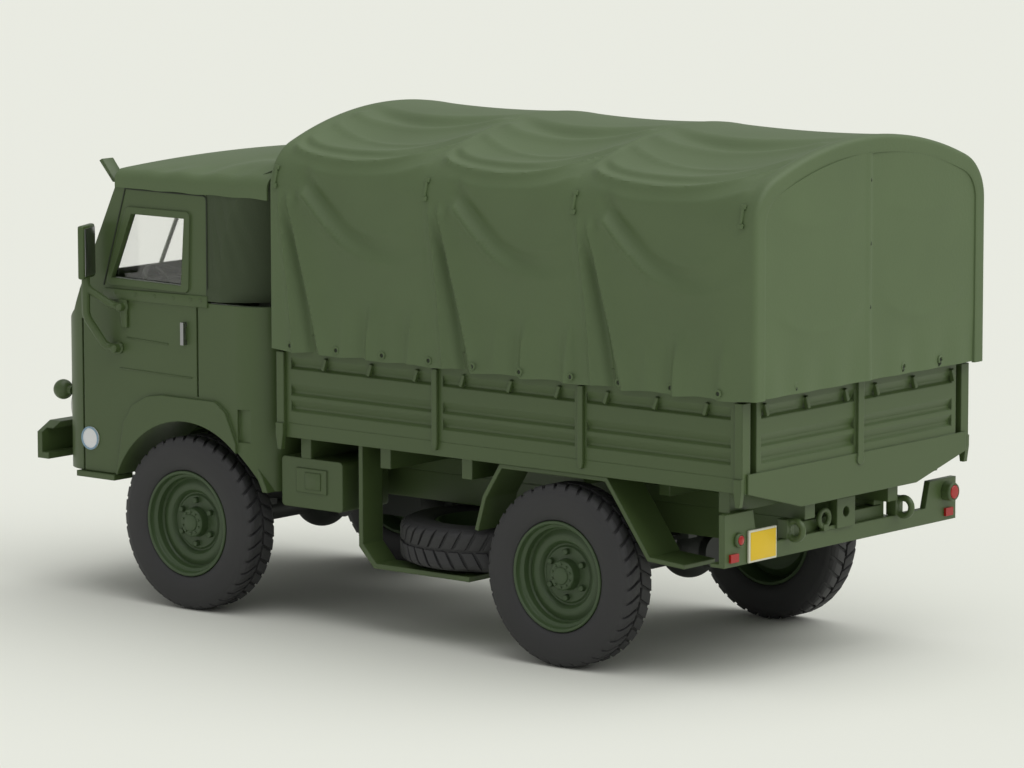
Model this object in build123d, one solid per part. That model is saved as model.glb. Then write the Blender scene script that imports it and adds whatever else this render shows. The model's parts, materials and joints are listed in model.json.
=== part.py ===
from build123d import *
import math
import os

# Military cargo truck, a display model at 1:43, sizes in millimetres.
# +X points to the front, +Y to the left, +Z up, and the ground is z = 0.
# The origin is under the middle of the model, between bumper face and rear curtain.

# Overall places
front_overhang = 30.2     # front axle to bumper face
wheelbase = 67.4
rear_overhang = 33.0      # rear axle to rear curtain
length = front_overhang + wheelbase + rear_overhang
face_x = length / 2       # bumper face
rear_x = -length / 2      # rear curtain
front_axle_x = face_x - front_overhang
rear_axle_x = front_axle_x - wheelbase
gap = 0.3                 # room between pieces that only lie close
fit = 0.1                 # room between pieces that sit in each other

# Wheels
tyre_radius = 12.35       # out to the tips of the lugs
tyre_width = 6.2
wheel_face_y = 26.0       # outer side wall of the tyre
rim_radius = 7.5
pin_radius = 0.8          # steel axle pin
pin_fit = 0.07            # running room of the pin in its housing
lug_count = 18            # lugs in each of the two rows of the tread
lug_depth = 0.85
lug_half_turn = 90 / lug_count   # half the width of a lug's foot, in degrees: the rows' feet meet
lug_flank_turn = 0.9      # how much narrower its tip is on each side
sidewall_sides = 36       # the carcass is turned with this many flats
nut_count = 6
nut_circle = 3.1
nut_radius = 0.42

# Chassis
rail_y = 10.4             # outer face of a side rail
rail_width = 2.2
rail_wall = 0.7
rail_bottom = 17.2
rail_height = 4.0
rail_top = rail_bottom + rail_height
axle_tube_radius = 1.7
spring_leaf = 0.5
spring_rise = 1.3
base_screw_x = (rear_axle_x - 12.0, front_axle_x - 27.0)   # bosses for the display base
base_boss_z = 15.9
base_boss_radius = 2.2
base_screw_radius = 1.25
base_screw_depth = 4.0

# Cab
cab_half = 25.2
cab_wall = 0.9
cab_bottom = 18.0
cab_front = face_x - 4.3
cab_rear = front_axle_x - 15.7
belt_z = 43.9
header_z = 60.6
tunnel_top = 23.2         # top of the notch over the gearbox
roof_front_z = 62.5       # crown of the roof at the windscreen
roof_rear_z = 65.7        # crown of the roof at the cover
roof_edge_front_z = 61.7
roof_edge_rear_z = 62.2
roof_corner_radius = 3.0
canvas_corner_radius = 8.5
screen_base_x = front_axle_x + 20.8
screen_top_x = front_axle_x + 12.8
nose_radius = 5.8
quarter_radius = 6.5
arch_radius = 14.5
arch_top_z = 30.2
arch_band = 0.5           # how far the wheel arch band stands proud
door_front_x = front_axle_x + 20.2
door_rear_x = front_axle_x - 2.1
upper_rear_x = front_axle_x - 4.0
groove = 0.35             # engraved door lines, wide and deep

# Cargo bed and cover
bed_half = cab_half - 0.4
bed_bottom = 26.4
bed_rail_height = 2.0
side_top = 41.0
side_wall = 1.2
post_width = 1.3
post_shares = (0.0, 0.331, 0.649, 1.0)   # places of the posts along the bed
hook_pitch = 8.27         # rope hooks along the sides
hook_top_z = 37.9
post_proud = 0.5
cover_half = cab_half + arch_band
cover_wall = 0.8
cover_front = cab_rear - 0.5
bed_front = cover_front - cover_wall - fit
bed_rear = rear_x + 2.3   # the rear curtain hangs clear of the tailgate
cover_hem_z = 38.6
shoulder_z = 61.0
shoulder_radius = 6.65
crown_z = 71.3
hoop_inset = 1.3
bay_count = 3
bay_sag = 1.3

# Rear beam
beam_x = rear_x + 4.7     # rear face of the beam
beam_wall = 0.9
beam_half = cover_half + 0.2
beam_bottom = 16.6
beam_height = 2.2
ear_start_y = beam_half - 6.1
ear_heights = (7.0, 5.8)  # left ear, right ear


def block(x0, x1, y0, y1, z0, z1):
    """Box between two corners."""
    return Pos((x0 + x1) / 2, (y0 + y1) / 2, (z0 + z1) / 2) * Box(x1 - x0, y1 - y0, z1 - z0)


def side_plate(outline, y0, y1):
    """Outline in the XZ plane, made a plate from y0 to y1."""
    points = [(x, y0, z) for x, z in outline]
    return extrude(make_face(Polyline(*points, close=True)), amount=y1 - y0, dir=(0, 1, 0))


def cross_plate(outline, x0, x1):
    """Outline in the YZ plane, made a plate from x0 to x1."""
    points = [(x0, y, z) for y, z in outline]
    return extrude(make_face(Polyline(*points, close=True)), amount=x1 - x0, dir=(1, 0, 0))


def rod_y(x, z, radius, y0, y1):
    """Round bar along Y."""
    return Pos(x, (y0 + y1) / 2, z) * Rot(90, 0, 0) * Cylinder(radius, abs(y1 - y0))


def rod_x(y, z, radius, x0, x1):
    """Round bar along X."""
    return Pos((x0 + x1) / 2, y, z) * Rot(0, 90, 0) * Cylinder(radius, abs(x1 - x0))


def mirrored(shape):
    """The same piece on the right side."""
    return mirror(shape, about=Plane.XZ)


def both(shape):
    """A piece with its twin on the right side."""
    return shape + mirrored(shape)


def mitred(path, distance):
    """The path moved sideways by a distance, to its right where that is positive, corners mitred."""
    points = [Vector(x, z) for x, z in path]
    runs = [(b - a).normalized() for a, b in zip(points, points[1:])]
    normals = [Vector(run.Y, -run.X) for run in [runs[0]] + runs + [runs[-1]]]
    moved = []
    for point, before, after in zip(points, normals, normals[1:]):
        place = point + (before + after) * (distance / (1 + before.dot(after)))
        moved.append((place.X, place.Y))
    return moved


def bent_sheet(path, thickness, y0, y1):
    """Sheet metal strip that follows a path in the XZ plane."""
    return side_plate(path + mitred(path, -thickness)[::-1], y0, y1)


def turned(outline, x, z):
    """Outline of (radius, y) pairs turned about the axle line through x, z."""
    face = make_face(Polyline(*[(r, y, 0) for r, y in outline], close=True))
    return Pos(x, 0, z) * revolve(face, axis=Axis.Y)


# Wheels: a pressed steel disc wheel with a lugged tyre, and a steel pin across the model

def rim(x, z):
    """Dished wheel of the left side, its face outwards."""
    y = wheel_face_y
    outline = [
        (rim_radius, y - 0.5), (rim_radius - 0.25, y - 0.3), (rim_radius - 0.7, y - 0.45),
        (rim_radius - 1.1, y - 1.7), (rim_radius - 1.9, y - 2.3), (rim_radius - 2.4, y - 3.1),
        (3.9, y - 3.3), (3.6, y - 2.7), (2.1, y - 2.6), (1.9, y - 1.7), (1.5, y - 1.2), (0.0, y - 1.1),
        (0.0, y - 4.0), (3.4, y - 4.0), (rim_radius - 2.0, y - 3.9), (rim_radius - 1.2, y - 2.6),
        (rim_radius - 1.2, y - tyre_width + 0.9), (rim_radius - 0.4, y - tyre_width + 0.5),
        (rim_radius, y - tyre_width + 0.6),
    ]
    wheel = turned(outline, x, z)
    for i in range(nut_count):
        turn = math.radians(360 / nut_count * i + 30)
        place = (x + nut_circle * math.cos(turn), z + nut_circle * math.sin(turn))
        wheel += rod_y(*place, nut_radius, y - 3.0, y - 2.2)
    return wheel - rod_y(x, z, pin_radius, y - 5, y - 2.4)


def flat_ring(radius, y):
    """Many-sided outline round the axle line, its flats at the given radius."""
    corner = radius / math.cos(math.pi / sidewall_sides)
    turns = [2 * math.pi * i / sidewall_sides for i in range(sidewall_sides)]
    points = [(corner * math.cos(turn), y, corner * math.sin(turn)) for turn in turns]
    return make_face(Polyline(*points, close=True))


def lug_row(y0, y1, start):
    """One row of lugs on a ring, the first lug's edge turned by start from straight down."""
    foot = tyre_radius - lug_depth
    corners = []
    for i in range(lug_count):
        middle = 360 / lug_count * i + start - 90
        tip_turn = lug_half_turn - lug_flank_turn
        for turn, radius in ((-lug_half_turn, foot), (-tip_turn, tyre_radius),
                             (tip_turn, tyre_radius), (lug_half_turn, foot)):
            angle = math.radians(middle + turn)
            corners.append((radius * math.cos(angle), radius * math.sin(angle)))
    return side_plate(corners, y0, y1)


def tyre(x, z):
    """Tyre of the left side: a bulged carcass with two staggered rows of lugs."""
    y0 = wheel_face_y - tyre_width
    y1 = wheel_face_y
    under_lugs = tyre_radius - lug_depth - 0.3
    shoulder = 0.6
    profile = [(rim_radius + 0.5, 0.45), (tyre_radius - 2.6, 0.0), (under_lugs, shoulder)]
    rings = [flat_ring(radius, y0 + inset) for radius, inset in profile]
    rings += [flat_ring(radius, y1 - inset) for radius, inset in reversed(profile)]
    carcass = loft(rings, ruled=True)
    middle = (y0 + y1) / 2
    pitch = 360 / lug_count
    start = lug_half_turn - lug_flank_turn
    tread = lug_row(middle, y1 - shoulder, start) + lug_row(y0 + shoulder, middle, start + pitch / 2)
    bore = extrude(flat_ring(rim_radius, y0 - 1), amount=tyre_width + 2, dir=(0, 1, 0))
    return Pos(x, 0, z) * (carcass + tread - bore)


def axle_pin(x):
    return rod_y(x, tyre_radius, pin_radius, -(wheel_face_y - 2.4), wheel_face_y - 2.4)


# Spare wheel, flat under the left side

spare_x = rear_axle_x + 22.5
spare_y = 12.6
spare_z = 10.4            # underside of the tyre


def laid_flat(piece):
    """A wheel piece of the left side laid flat, face down, at the spare's place."""
    centred = Pos(0, -(wheel_face_y - tyre_width / 2), 0) * piece
    return Pos(spare_x, spare_y, spare_z + tyre_width / 2) * Rot(-90, 0, 0) * centred


def spare_carrier():
    """Strap from the bed rail down round the tyre to a tray under it."""
    strap = 0.7
    y0, y1 = 19.4, 23.6
    front = spare_x + tyre_radius + 1.2
    tail = spare_x - 5.6
    tray_z = spare_z - gap - strap
    outline = [
        (front + strap, bed_bottom), (front, bed_bottom), (front, tray_z + 3.2), (front - 2.4, tray_z + strap),
        (tail, tray_z + strap), (tail, tray_z), (front - 2.0, tray_z), (front + strap, tray_z + 2.8),
    ]
    outer = side_plate(outline, y0, y1)
    inner = block(tail, spare_x + 5.6, 2.0, y0, tray_z, tray_z + strap)
    hanger = block(spare_x - 2.0, spare_x + 2.0, 12.0, 14.4, tray_z + strap, spare_z + 1.0)
    return outer + inner + hanger


# Chassis: two channel rails with cross members, axles, springs and the drive line

def chassis_frame():
    """The two side rails, channels open inwards."""
    x0 = beam_x + beam_wall
    x1 = face_x - bumper_flange
    channel = block(x0, x1, rail_y - rail_width, rail_y, rail_bottom, rail_top)
    channel -= block(x0, x1, rail_y - rail_width, rail_y - rail_wall,
                     rail_bottom + rail_wall, rail_top - rail_wall)
    return both(channel)


member_half = 0.9         # half the thickness of a cross member


def cross_members():
    """Cross members between the rails, two of them with a boss for a screw of the display base."""
    inside = rail_y - rail_wall
    z0, z1 = rail_bottom + 1.0, rail_top - rail_wall - fit
    tail = beam_x + beam_wall + member_half
    members = []
    for x in (tail, rear_axle_x + 12.0, front_axle_x + 22.0):
        members.append(block(x - member_half, x + member_half, -inside, inside, z0, z1))
    for x in base_screw_x:
        member = block(x - member_half, x + member_half, -inside, inside, z0, z1)
        member += Pos(x, 0, (base_boss_z + z1) / 2) * Cylinder(base_boss_radius, z1 - base_boss_z)
        hole = Pos(x, 0, base_boss_z + base_screw_depth / 2) * Cylinder(base_screw_radius, base_screw_depth)
        members.append(member - hole)
    return Compound(members)


def axle_housing(x, diff_y):
    """Banjo axle casing with the bore for the pin."""
    z = tyre_radius
    reach = wheel_face_y - tyre_width - 1.4
    tube = rod_y(x, z, axle_tube_radius, -reach, reach)
    ends = both(rod_y(x, z, 3.6, reach - 1.2, reach))
    ball = Pos(x, diff_y, z) * Sphere(4.0)
    cover = rod_x(diff_y, z, 2.2, x - 4.6, x + 5.2)
    pads = both(block(x - 1.5, x + 1.5, rail_y - rail_width, rail_y, z, z + axle_tube_radius + 0.2))
    return tube + ends + ball + cover + pads - rod_y(x, z, pin_radius + pin_fit, -30, 30)


def leaf_spring(x, half_span):
    """Stack of leaves under a rail with its two hangers."""
    z = tyre_radius + axle_tube_radius + 0.2
    y0 = rail_y - rail_width + 0.2
    y1 = rail_y - 0.2
    stack = None
    # leaves: share of the span, number from the bottom
    for share, step in ((0.45, 0), (0.72, 1), (1.0, 2)):
        span = half_span * share
        rise = spring_rise * share * share
        base = z + step * spring_leaf
        low = ThreePointArc((x - span, y0, base + rise), (x, y0, base), (x + span, y0, base + rise))
        top = ThreePointArc((x + span, y0, base + rise + spring_leaf), (x, y0, base + spring_leaf),
                            (x - span, y0, base + rise + spring_leaf))
        ends = [Line(low @ 1, top @ 0), Line(top @ 1, low @ 0)]
        leaf = extrude(make_face([low, ends[0], top, ends[1]]), amount=y1 - y0, dir=(0, 1, 0))
        stack = leaf if stack is None else stack + leaf
    for end in (x - half_span, x + half_span):
        stack += block(end - 0.7, end + 0.7, y0, y1, z + spring_rise + spring_leaf * 2, rail_bottom)
    return both(stack)


def engine_and_gearbox():
    """Engine under the cab floor, gearbox behind it and transfer box on the right."""
    top = cab_floor_z - gap
    engine = block(front_axle_x - 4.0, front_axle_x + 14.0, -6.0, 6.0, 18.2, top)
    sump = block(front_axle_x + 5.6, front_axle_x + 13.0, -4.0, 4.0, 14.6, 18.2)
    gearbox = rod_x(0, 19.0, 3.4, front_axle_x - 16.0, front_axle_x - 4.0)
    transfer = block(front_axle_x - 24.0, front_axle_x - 16.0, -7.4, 3.0, 12.6, 20.0)
    return engine + sump + gearbox + transfer


def propshafts():
    """Front and rear shaft from the transfer box to the axles."""
    y = diff_offset
    z = tyre_radius + 1.6
    front = rod_x(y, z, 0.8, front_axle_x - 15.7, front_axle_x - 4.9)
    rear = rod_x(y, z, 0.9, rear_axle_x + 5.5, front_axle_x - 24.3)
    for x in (front_axle_x - 14.6, front_axle_x - 6.0):
        front += rod_x(y, z, 1.4, x - 0.7, x + 0.7)
    for x in (rear_axle_x + 6.6, front_axle_x - 25.4):
        rear += rod_x(y, z, 1.5, x - 0.8, x + 0.8)
    return front + rear


# Front bumper

bumper_wall = 0.9
bumper_half = 24.6
bumper_bottom = 18.7
bumper_height = 5.2
bumper_flange = 2.2


def front_bumper():
    top = bumper_bottom + bumper_height
    bar = block(face_x - bumper_flange, face_x, -bumper_half, bumper_half, bumper_bottom, top)
    bar -= block(face_x - bumper_flange, face_x - bumper_wall, -bumper_half, bumper_half,
                 bumper_bottom + bumper_wall, top - bumper_wall)
    for side in (-1, 1):
        corner = [(side * bumper_half, top), (side * (bumper_half - 2.6), top), (side * bumper_half, top - 1.4)]
        bar -= cross_plate(corner, face_x - bumper_flange, face_x)
    return bar


# Cab: one hollow casting below and round the windows, with a canvas roof and rear

cab_floor_z = 30.4
seat_y = 14.5             # middle of a seat
window_top = header_z - 5.1
window = [(10.2, window_top), (0.0, window_top), (0.7, 46.0), (14.2, 46.2)]   # from the front axle, height
screen_panes = ((-22.6, -1.0), (1.0, 22.6))
screen_height = (46.6, header_z - 2.0)


def plan_prism(x0, x1, half, front_radius, rear_radius, z0, z1):
    """Upright prism with rounded corners in plan."""
    body = block(x0, x1, -half, half, z0, z1)
    body = fillet(body.edges().filter_by(Axis.Z).group_by(Axis.X)[-1], front_radius)
    return fillet(body.edges().filter_by(Axis.Z).group_by(Axis.X)[0], rear_radius)


def lower_profile(inset):
    """Side view of the lower cab between its floor edge and the belt."""
    front = cab_front - inset
    return [
        (cab_rear + inset, cab_bottom - inset * 2), (front, cab_bottom - inset * 2), (front, 36.6),
        (front - 1.3, 39.2), (screen_base_x + 1.5 - inset, 40.9), (screen_base_x - inset, belt_z),
        (cab_rear + inset, belt_z),
    ]


def lower_cab():
    outer = side_plate(lower_profile(0), -cab_half, cab_half)
    outer &= plan_prism(cab_rear, cab_front, cab_half, nose_radius, quarter_radius, 0, 70)
    inner = side_plate(lower_profile(cab_wall), -cab_half, cab_half)
    inner &= plan_prism(cab_rear + cab_wall, cab_front - cab_wall, cab_half - cab_wall,
                        nose_radius - cab_wall, quarter_radius - cab_wall, -1, 70)
    shell = outer - inner
    # raised band round each wheel arch
    band = [
        (front_axle_x + 13.5, cab_bottom), (front_axle_x + 12.0, 25.8), (front_axle_x + 10.3, 28.3),
        (front_axle_x + 7.4, 29.8), (front_axle_x + 4.6, arch_top_z), (front_axle_x - 5.6, arch_top_z),
        (front_axle_x - 7.6, 28.8), (front_axle_x - 9.6, 24.6), (front_axle_x - 9.6, cab_bottom),
    ]
    band_plate = side_plate(band, cab_half - cab_wall, cab_half + arch_band)
    corners = [edge for edge in band_plate.edges().filter_by(Axis.Y) if edge.center().Z > arch_top_z - 2]
    shell += both(fillet(corners, 1.2))
    shell += both(rod_y(front_axle_x, tyre_radius, arch_radius + cab_wall, 14.0, cab_half - cab_wall)
                  & block(0, 70, 0, 30, cab_bottom, 40))
    shell -= both(rod_y(front_axle_x, tyre_radius, arch_radius, 13.0, 30.0))
    # step set into the rear quarter below the ledge
    shell -= both(block(cab_rear, front_axle_x - 9.6, cab_half - 0.5, cab_half, 24.8, 29.4))
    # engraved edges of the door
    for x, low, high in ((door_front_x, cab_bottom, belt_z - 4.0), (door_rear_x, arch_top_z + groove, belt_z)):
        shell -= both(block(x - groove / 2, x + groove / 2, cab_half - groove, cab_half + arch_band, low, high))
    # room for the rails below the nose
    shell -= block(front_axle_x + 10, cab_front, -(rail_y + gap), rail_y + gap, 0, rail_top + gap)
    shell -= block(cab_rear, front_axle_x, -(rail_y + gap), rail_y + gap, 0, tunnel_top)
    return shell


def upper_cab():
    """Window frames, pillars and windscreen frame above the belt."""
    outline = [(upper_rear_x, belt_z), (screen_base_x, belt_z), (screen_top_x, header_z), (upper_rear_x, header_z)]
    inside = [(upper_rear_x, belt_z), (screen_base_x - cab_wall, belt_z),
              (screen_top_x - cab_wall, header_z), (upper_rear_x, header_z)]
    frame = side_plate(outline, -cab_half, cab_half) - side_plate(inside, -cab_half + cab_wall, cab_half - cab_wall)
    side_hole = [(front_axle_x + x, z) for x, z in window]
    frame -= side_plate(side_hole, -40, 40)
    for y0, y1 in screen_panes:
        frame -= block(screen_top_x - 4, screen_base_x + 4, y0, y1, *screen_height)
    return frame


frame_proud = 0.3         # how far the side window's frame stands out


def window_frame():
    """Raised frame round the left side window."""
    top = window_top + 1.0
    outline = [(11.2, top), (-1.1, top), (-0.7, 45.1), (15.4, 45.2)]
    frame = side_plate([(front_axle_x + x, z) for x, z in outline], cab_half, cab_half + frame_proud)
    frame = fillet(frame.edges().filter_by(Axis.Y), 0.8)
    return frame - side_plate([(front_axle_x + x, z) for x, z in window], 0, 40)


def cab_shell():
    return lower_cab() + upper_cab() + both(window_frame())


handle_z = (37.7, 40.9)


def door_handle():
    """Upright pull on the left door, standing off on its two feet."""
    x = front_axle_x + 0.2
    y = cab_half
    grip = block(x - 0.3, x + 0.3, y + 0.3, y + 0.75, *handle_z)
    for z in (handle_z[0], handle_z[1] - 0.6):
        grip += block(x - 0.3, x + 0.3, y, y + 0.5, z, z + 0.6)
    return grip


def roof_section(x, half, base, edge, crown):
    """Roof outline across the cab at one station."""
    left = (x, half, edge)
    right = (x, -half, edge)
    arc = ThreePointArc(left, (x, 0, crown), right)
    sides = Polyline(right, (x, -half, base), (x, half, base), left)
    return make_face([arc, sides])


def roof_skin(inset):
    """Solid under the roof skin, drawn in by the inset on every side but below."""
    half = cab_half - inset
    base = header_z - 1.9 - inset
    rear = roof_section(cab_rear + inset, half, base, roof_edge_rear_z - inset, roof_rear_z - inset)
    front = roof_section(screen_top_x + 0.6 - inset, half, base, roof_edge_front_z - inset, roof_front_z - inset)
    return loft([rear, front], ruled=True) & quarter_prism(inset, roof_corner_radius, roof_corner_radius, 0, 90)


def quarter_section(x0, half, radius, z):
    """Plan of the cab behind the doors, its rear corners rounded."""
    x1 = screen_top_x + 20
    slant = radius * (1 - math.sqrt(0.5))
    right = ThreePointArc((x0 + radius, -half, z), (x0 + slant, -half + slant, z), (x0, -half + radius, z))
    left = ThreePointArc((x0, half - radius, z), (x0 + slant, half - slant, z), (x0 + radius, half, z))
    edges = [Line((x1, -half, z), right @ 0), right, Line(right @ 1, left @ 0), left,
             Line(left @ 1, (x1, half, z)), Line((x1, half, z), (x1, -half, z))]
    return make_face(edges)


def quarter_prism(inset, low_radius, high_radius, z0, z1):
    """Upright prism of the rear quarters, its corner radius changing with height."""
    half = cab_half - inset
    x0 = cab_rear + inset
    sections = [quarter_section(x0, half, low_radius - inset, z0), quarter_section(x0, half, high_radius - inset, z1)]
    return loft(sections, ruled=True)


def cab_canvas():
    """Canvas roof with the rear quarters and rear wall under it."""
    roof = roof_skin(0) - roof_skin(cab_wall)
    # over the doors there is only the roof skin
    ahead = upper_rear_x - fit
    roof -= block(ahead, cab_front, -40, 40, belt_z, header_z + fit)
    z0 = belt_z + gap
    z1 = header_z - 1.9
    quarter = quarter_prism(0, canvas_corner_radius, roof_corner_radius, z0, z1)
    quarter -= quarter_prism(cab_wall, canvas_corner_radius, roof_corner_radius, z0, z1)
    quarter -= block(ahead, cab_front + 20, -40, 40, 0, 90)
    return roof + quarter


def header_visor():
    """Peak that stands up along the front edge of the roof."""
    x = screen_top_x + 0.9
    z = header_z - 0.9
    outline = [(x, z), (x + 0.7, z), (x + 3.3, z + 2.9), (x + 2.7, z + 3.2)]
    return side_plate(outline, -cab_half + 0.4, cab_half - 0.4)


def glazing():
    """Clear panes of the windscreen and the side windows."""
    pane = 0.4
    outline = [(front_axle_x + x, z) for x, z in window]
    sides = both(side_plate(outline, cab_half - cab_wall, cab_half - cab_wall + pane))
    run = screen_top_x - screen_base_x
    rise = header_z - belt_z

    def screen_x(z):
        return screen_base_x - cab_wall + run * (z - belt_z) / rise

    z0, z1 = screen_height
    screen = None
    for y0, y1 in screen_panes:
        profile = [(screen_x(z0), z0), (screen_x(z0) + pane, z0), (screen_x(z1) + pane, z1), (screen_x(z1), z1)]
        part = side_plate(profile, y0, y1)
        screen = part if screen is None else screen + part
    return sides + screen


def cab_interior():
    """Floor tub with seat bases, seat backs and the engine cover."""
    x0 = cab_rear + cab_wall + fit
    x1 = cab_front - cab_wall - fit
    half = cab_half - cab_wall - fit
    tub = plan_prism(x0, x1, half, nose_radius - cab_wall - fit, quarter_radius - cab_wall - fit,
                     cab_floor_z, cab_floor_z + 0.8)
    seat_x = cab_rear + 4.0
    z = cab_floor_z + 0.8
    cover = block(seat_x + 2.0, front_axle_x + 17.0, -5.0, 5.0, z, z + 6.0)
    tub += fillet(cover.edges().filter_by(Axis.X), 1.2)
    for y in (-seat_y, seat_y):
        cushion = block(seat_x, seat_x + 10.5, y - 6.0, y + 6.0, z, z + 6.4)
        back = block(seat_x, seat_x + 2.2, y - 6.0, y + 6.0, z + 6.4, z + 16.8)
        back = fillet(back.edges().filter_by(Axis.X), 1.2)
        tub += fillet(cushion.edges().filter_by(Axis.Z), 1.0) + back
    return tub


dash_x = screen_base_x - 5.2


dash_top_z = belt_z + 0.7


def dashboard():
    front = screen_base_x - cab_wall - fit - 0.6
    foot = dash_top_z - 7.0
    outline = [(dash_x, dash_top_z - 2.8), (dash_x + 1.0, dash_top_z), (front, dash_top_z),
               (front, foot), (dash_x + 1.4, foot)]
    half = cab_half - cab_wall - fit
    return side_plate(outline, -half, half)


def steering_wheel():
    """Rim, spokes and column on the left."""
    ring = Torus(4.3, 0.35) + Cylinder(0.9, 0.9)
    for turn in (0, 120, 240):
        ring += Rot(0, 0, turn) * Pos(2.3, 0, 0) * Box(4.0, 0.6, 0.4)
    ring += Pos(0, 0, -3.2) * Cylinder(0.5, 6.4)
    return Pos(dash_x - 3.2, seat_y, dash_top_z) * Rot(0, -28, 0) * ring


def grille():
    """Slatted panel in the nose."""
    x = cab_front
    panel = block(x, x + 0.5, -11.5, 11.5, 28.0, 36.0)
    panel -= block(x + 0.2, x + 0.5, -10.8, 10.8, 28.7, 35.3)
    for i in range(6):
        z = 29.3 + i * 1.05
        panel += block(x + 0.2, x + 0.5, -10.8, 10.8, z, z + 0.45)
    return panel


headlamp_y = 17.4
headlamp_z = 26.2


def headlamp():
    """Headlamp bowl with its rim and lens, left side."""
    x = cab_front
    bowl = rod_x(headlamp_y, headlamp_z, 3.7, x, x + 0.9)
    lens = rod_x(headlamp_y, headlamp_z, 3.1, x + 0.9, x + 1.4)
    return bowl + fillet(lens.edges().group_by(Axis.X)[-1], 0.4)


def marker_lamp():
    """Round marker lamp on a short stalk at the nose corner, left side."""
    place = (cab_front + 1.6, cab_half - 3.3, 28.6)
    ball = Pos(*place) * Sphere(1.45)
    return ball + rod_x(place[1], place[2], 0.6, cab_front - 0.3, cab_front + 1.6)


def mirror_arm():
    """Mirror head on two tubular arms, left side."""
    # hinge bracket: x, z; arms bend at the rod line
    low = (front_axle_x + 13.0, 36.2)
    high = (front_axle_x + 12.2, 42.2)
    rod_line_x = front_axle_x + 16.6
    rod_line_y = cab_half + 3.1
    head_z = (46.4, 53.8)
    radius = 0.55
    rod = Pos(rod_line_x, rod_line_y, (39.5 + 53.0) / 2) * Cylinder(radius, 53.0 - 39.5)
    piece = rod
    for x, z, top in ((*low, 39.5), (*high, 44.5)):
        path = Line((x, cab_half + 0.7, z), (rod_line_x, rod_line_y, top))
        piece += sweep(Plane(origin=path @ 0, z_dir=path % 0) * Circle(radius), path=path)
        piece += Pos(rod_line_x, rod_line_y, top) * Sphere(radius)
        piece += block(x - 0.8, x + 0.8, cab_half, cab_half + 1.3, z - 0.9, z + 0.9)
    head = Box(1.1, 4.6, head_z[1] - head_z[0])
    head = fillet(head.edges().filter_by(Axis.X), 0.6)
    return piece + Pos(rod_line_x - 0.2, rod_line_y + 0.1, sum(head_z) / 2) * Rot(0, 0, 22) * head


def side_steps():
    """Footstep plate under each door front."""
    x0 = front_axle_x + 13.8
    return both(block(x0, x0 + 7.4, cab_half - 3.2, cab_half + 0.6, cab_bottom - 0.9, cab_bottom - 0.1))


def wipers():
    x = screen_base_x + 0.35
    piece = None
    for y in (-12.0, 9.0):
        lean = (screen_top_x - screen_base_x) / (header_z - belt_z)
        profile = [(x + lean * 1.2, 45.1), (x + lean * 1.2 + 0.4, 45.1), (x + lean * 10 + 0.4, 53.9), (x + lean * 10, 53.9)]
        arm = side_plate(profile, y - 0.25, y + 0.25)
        piece = arm if piece is None else piece + arm
    return piece


# Cargo bed

bearer_bottom = rail_top + 2.2
bearer_half = 0.9


def runners():
    """Packing strips that lie on the rails."""
    return both(block(bed_rear + 1.0, bed_front - 1.0, rail_y - rail_width, rail_y, rail_top, bearer_bottom))


def bearers():
    """Cross bearers under the platform, shorter over the rear wheels."""
    first, last = beam_x + beam_wall + gap + bearer_half, bed_front - 3.5
    count = 6
    bars = []
    for i in range(count):
        x = first + (last - first) * i / (count - 1)
        over_wheel = rear_axle_x - 21.0 - bearer_half < x < rear_axle_x + 15.4 + bearer_half
        half = 17.2 if over_wheel else bed_half - 1.6
        bars.append(block(x - bearer_half, x + bearer_half, -half, half, bearer_bottom, bed_bottom))
    return Compound(bars)


def platform():
    """Floor of the bed with its edge rail."""
    top = bed_bottom + bed_rail_height
    floor = block(bed_rear, bed_front, -bed_half, bed_half, bed_bottom, top)
    return floor - block(bed_rear + 1.2, bed_front - 1.2, -bed_half + 1.2, bed_half - 1.2, bed_bottom, top - 1.0)


rib_heights = (2.0, 4.2, 7.9)   # pressed grooves of the boards, above the rail
rib_depth = 0.45


def ribbed_panel(span, breaks, height):
    """Board with long pressed grooves that end beside its posts, outer face at y = 0."""
    panel = block(0, span, -side_wall, 0, 0, height)
    for start, end in zip(breaks, breaks[1:]):
        for z in rib_heights:
            cut = [(0, z - 0.35), (-rib_depth, z), (-rib_depth, z + 0.3), (0, z + 1.3)]
            points = [(start + 1.0, y, level) for y, level in cut]
            panel -= extrude(make_face(Polyline(*points, close=True)), amount=end - start - 2.0, dir=(1, 0, 0))
    return panel


def rope_hook(lean):
    """Slanting cleat for the cover's rope, its foot on the board at y = 0."""
    return Rot(0, lean, 0) * block(-0.25, 0.25, -0.2, 0.45, -1.7, 0)


def dropside():
    """Left dropside between the corner posts, with its row of rope hooks."""
    base = bed_bottom + bed_rail_height
    span = bed_front - bed_rear - 2 * post_width
    breaks = [share * span for share in post_shares]
    board = Pos(bed_rear + post_width, bed_half, base) * ribbed_panel(span, breaks, side_top - base)
    first = bed_front - 9.0
    for i in range(9):
        board += Pos(first - hook_pitch * i, bed_half, hook_top_z) * rope_hook(-20)
    return board


tail_post_half = 0.65
tail_hooks = (3.4, 12.0, 20.9)   # rope hooks to each side of the tail's middle


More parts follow.
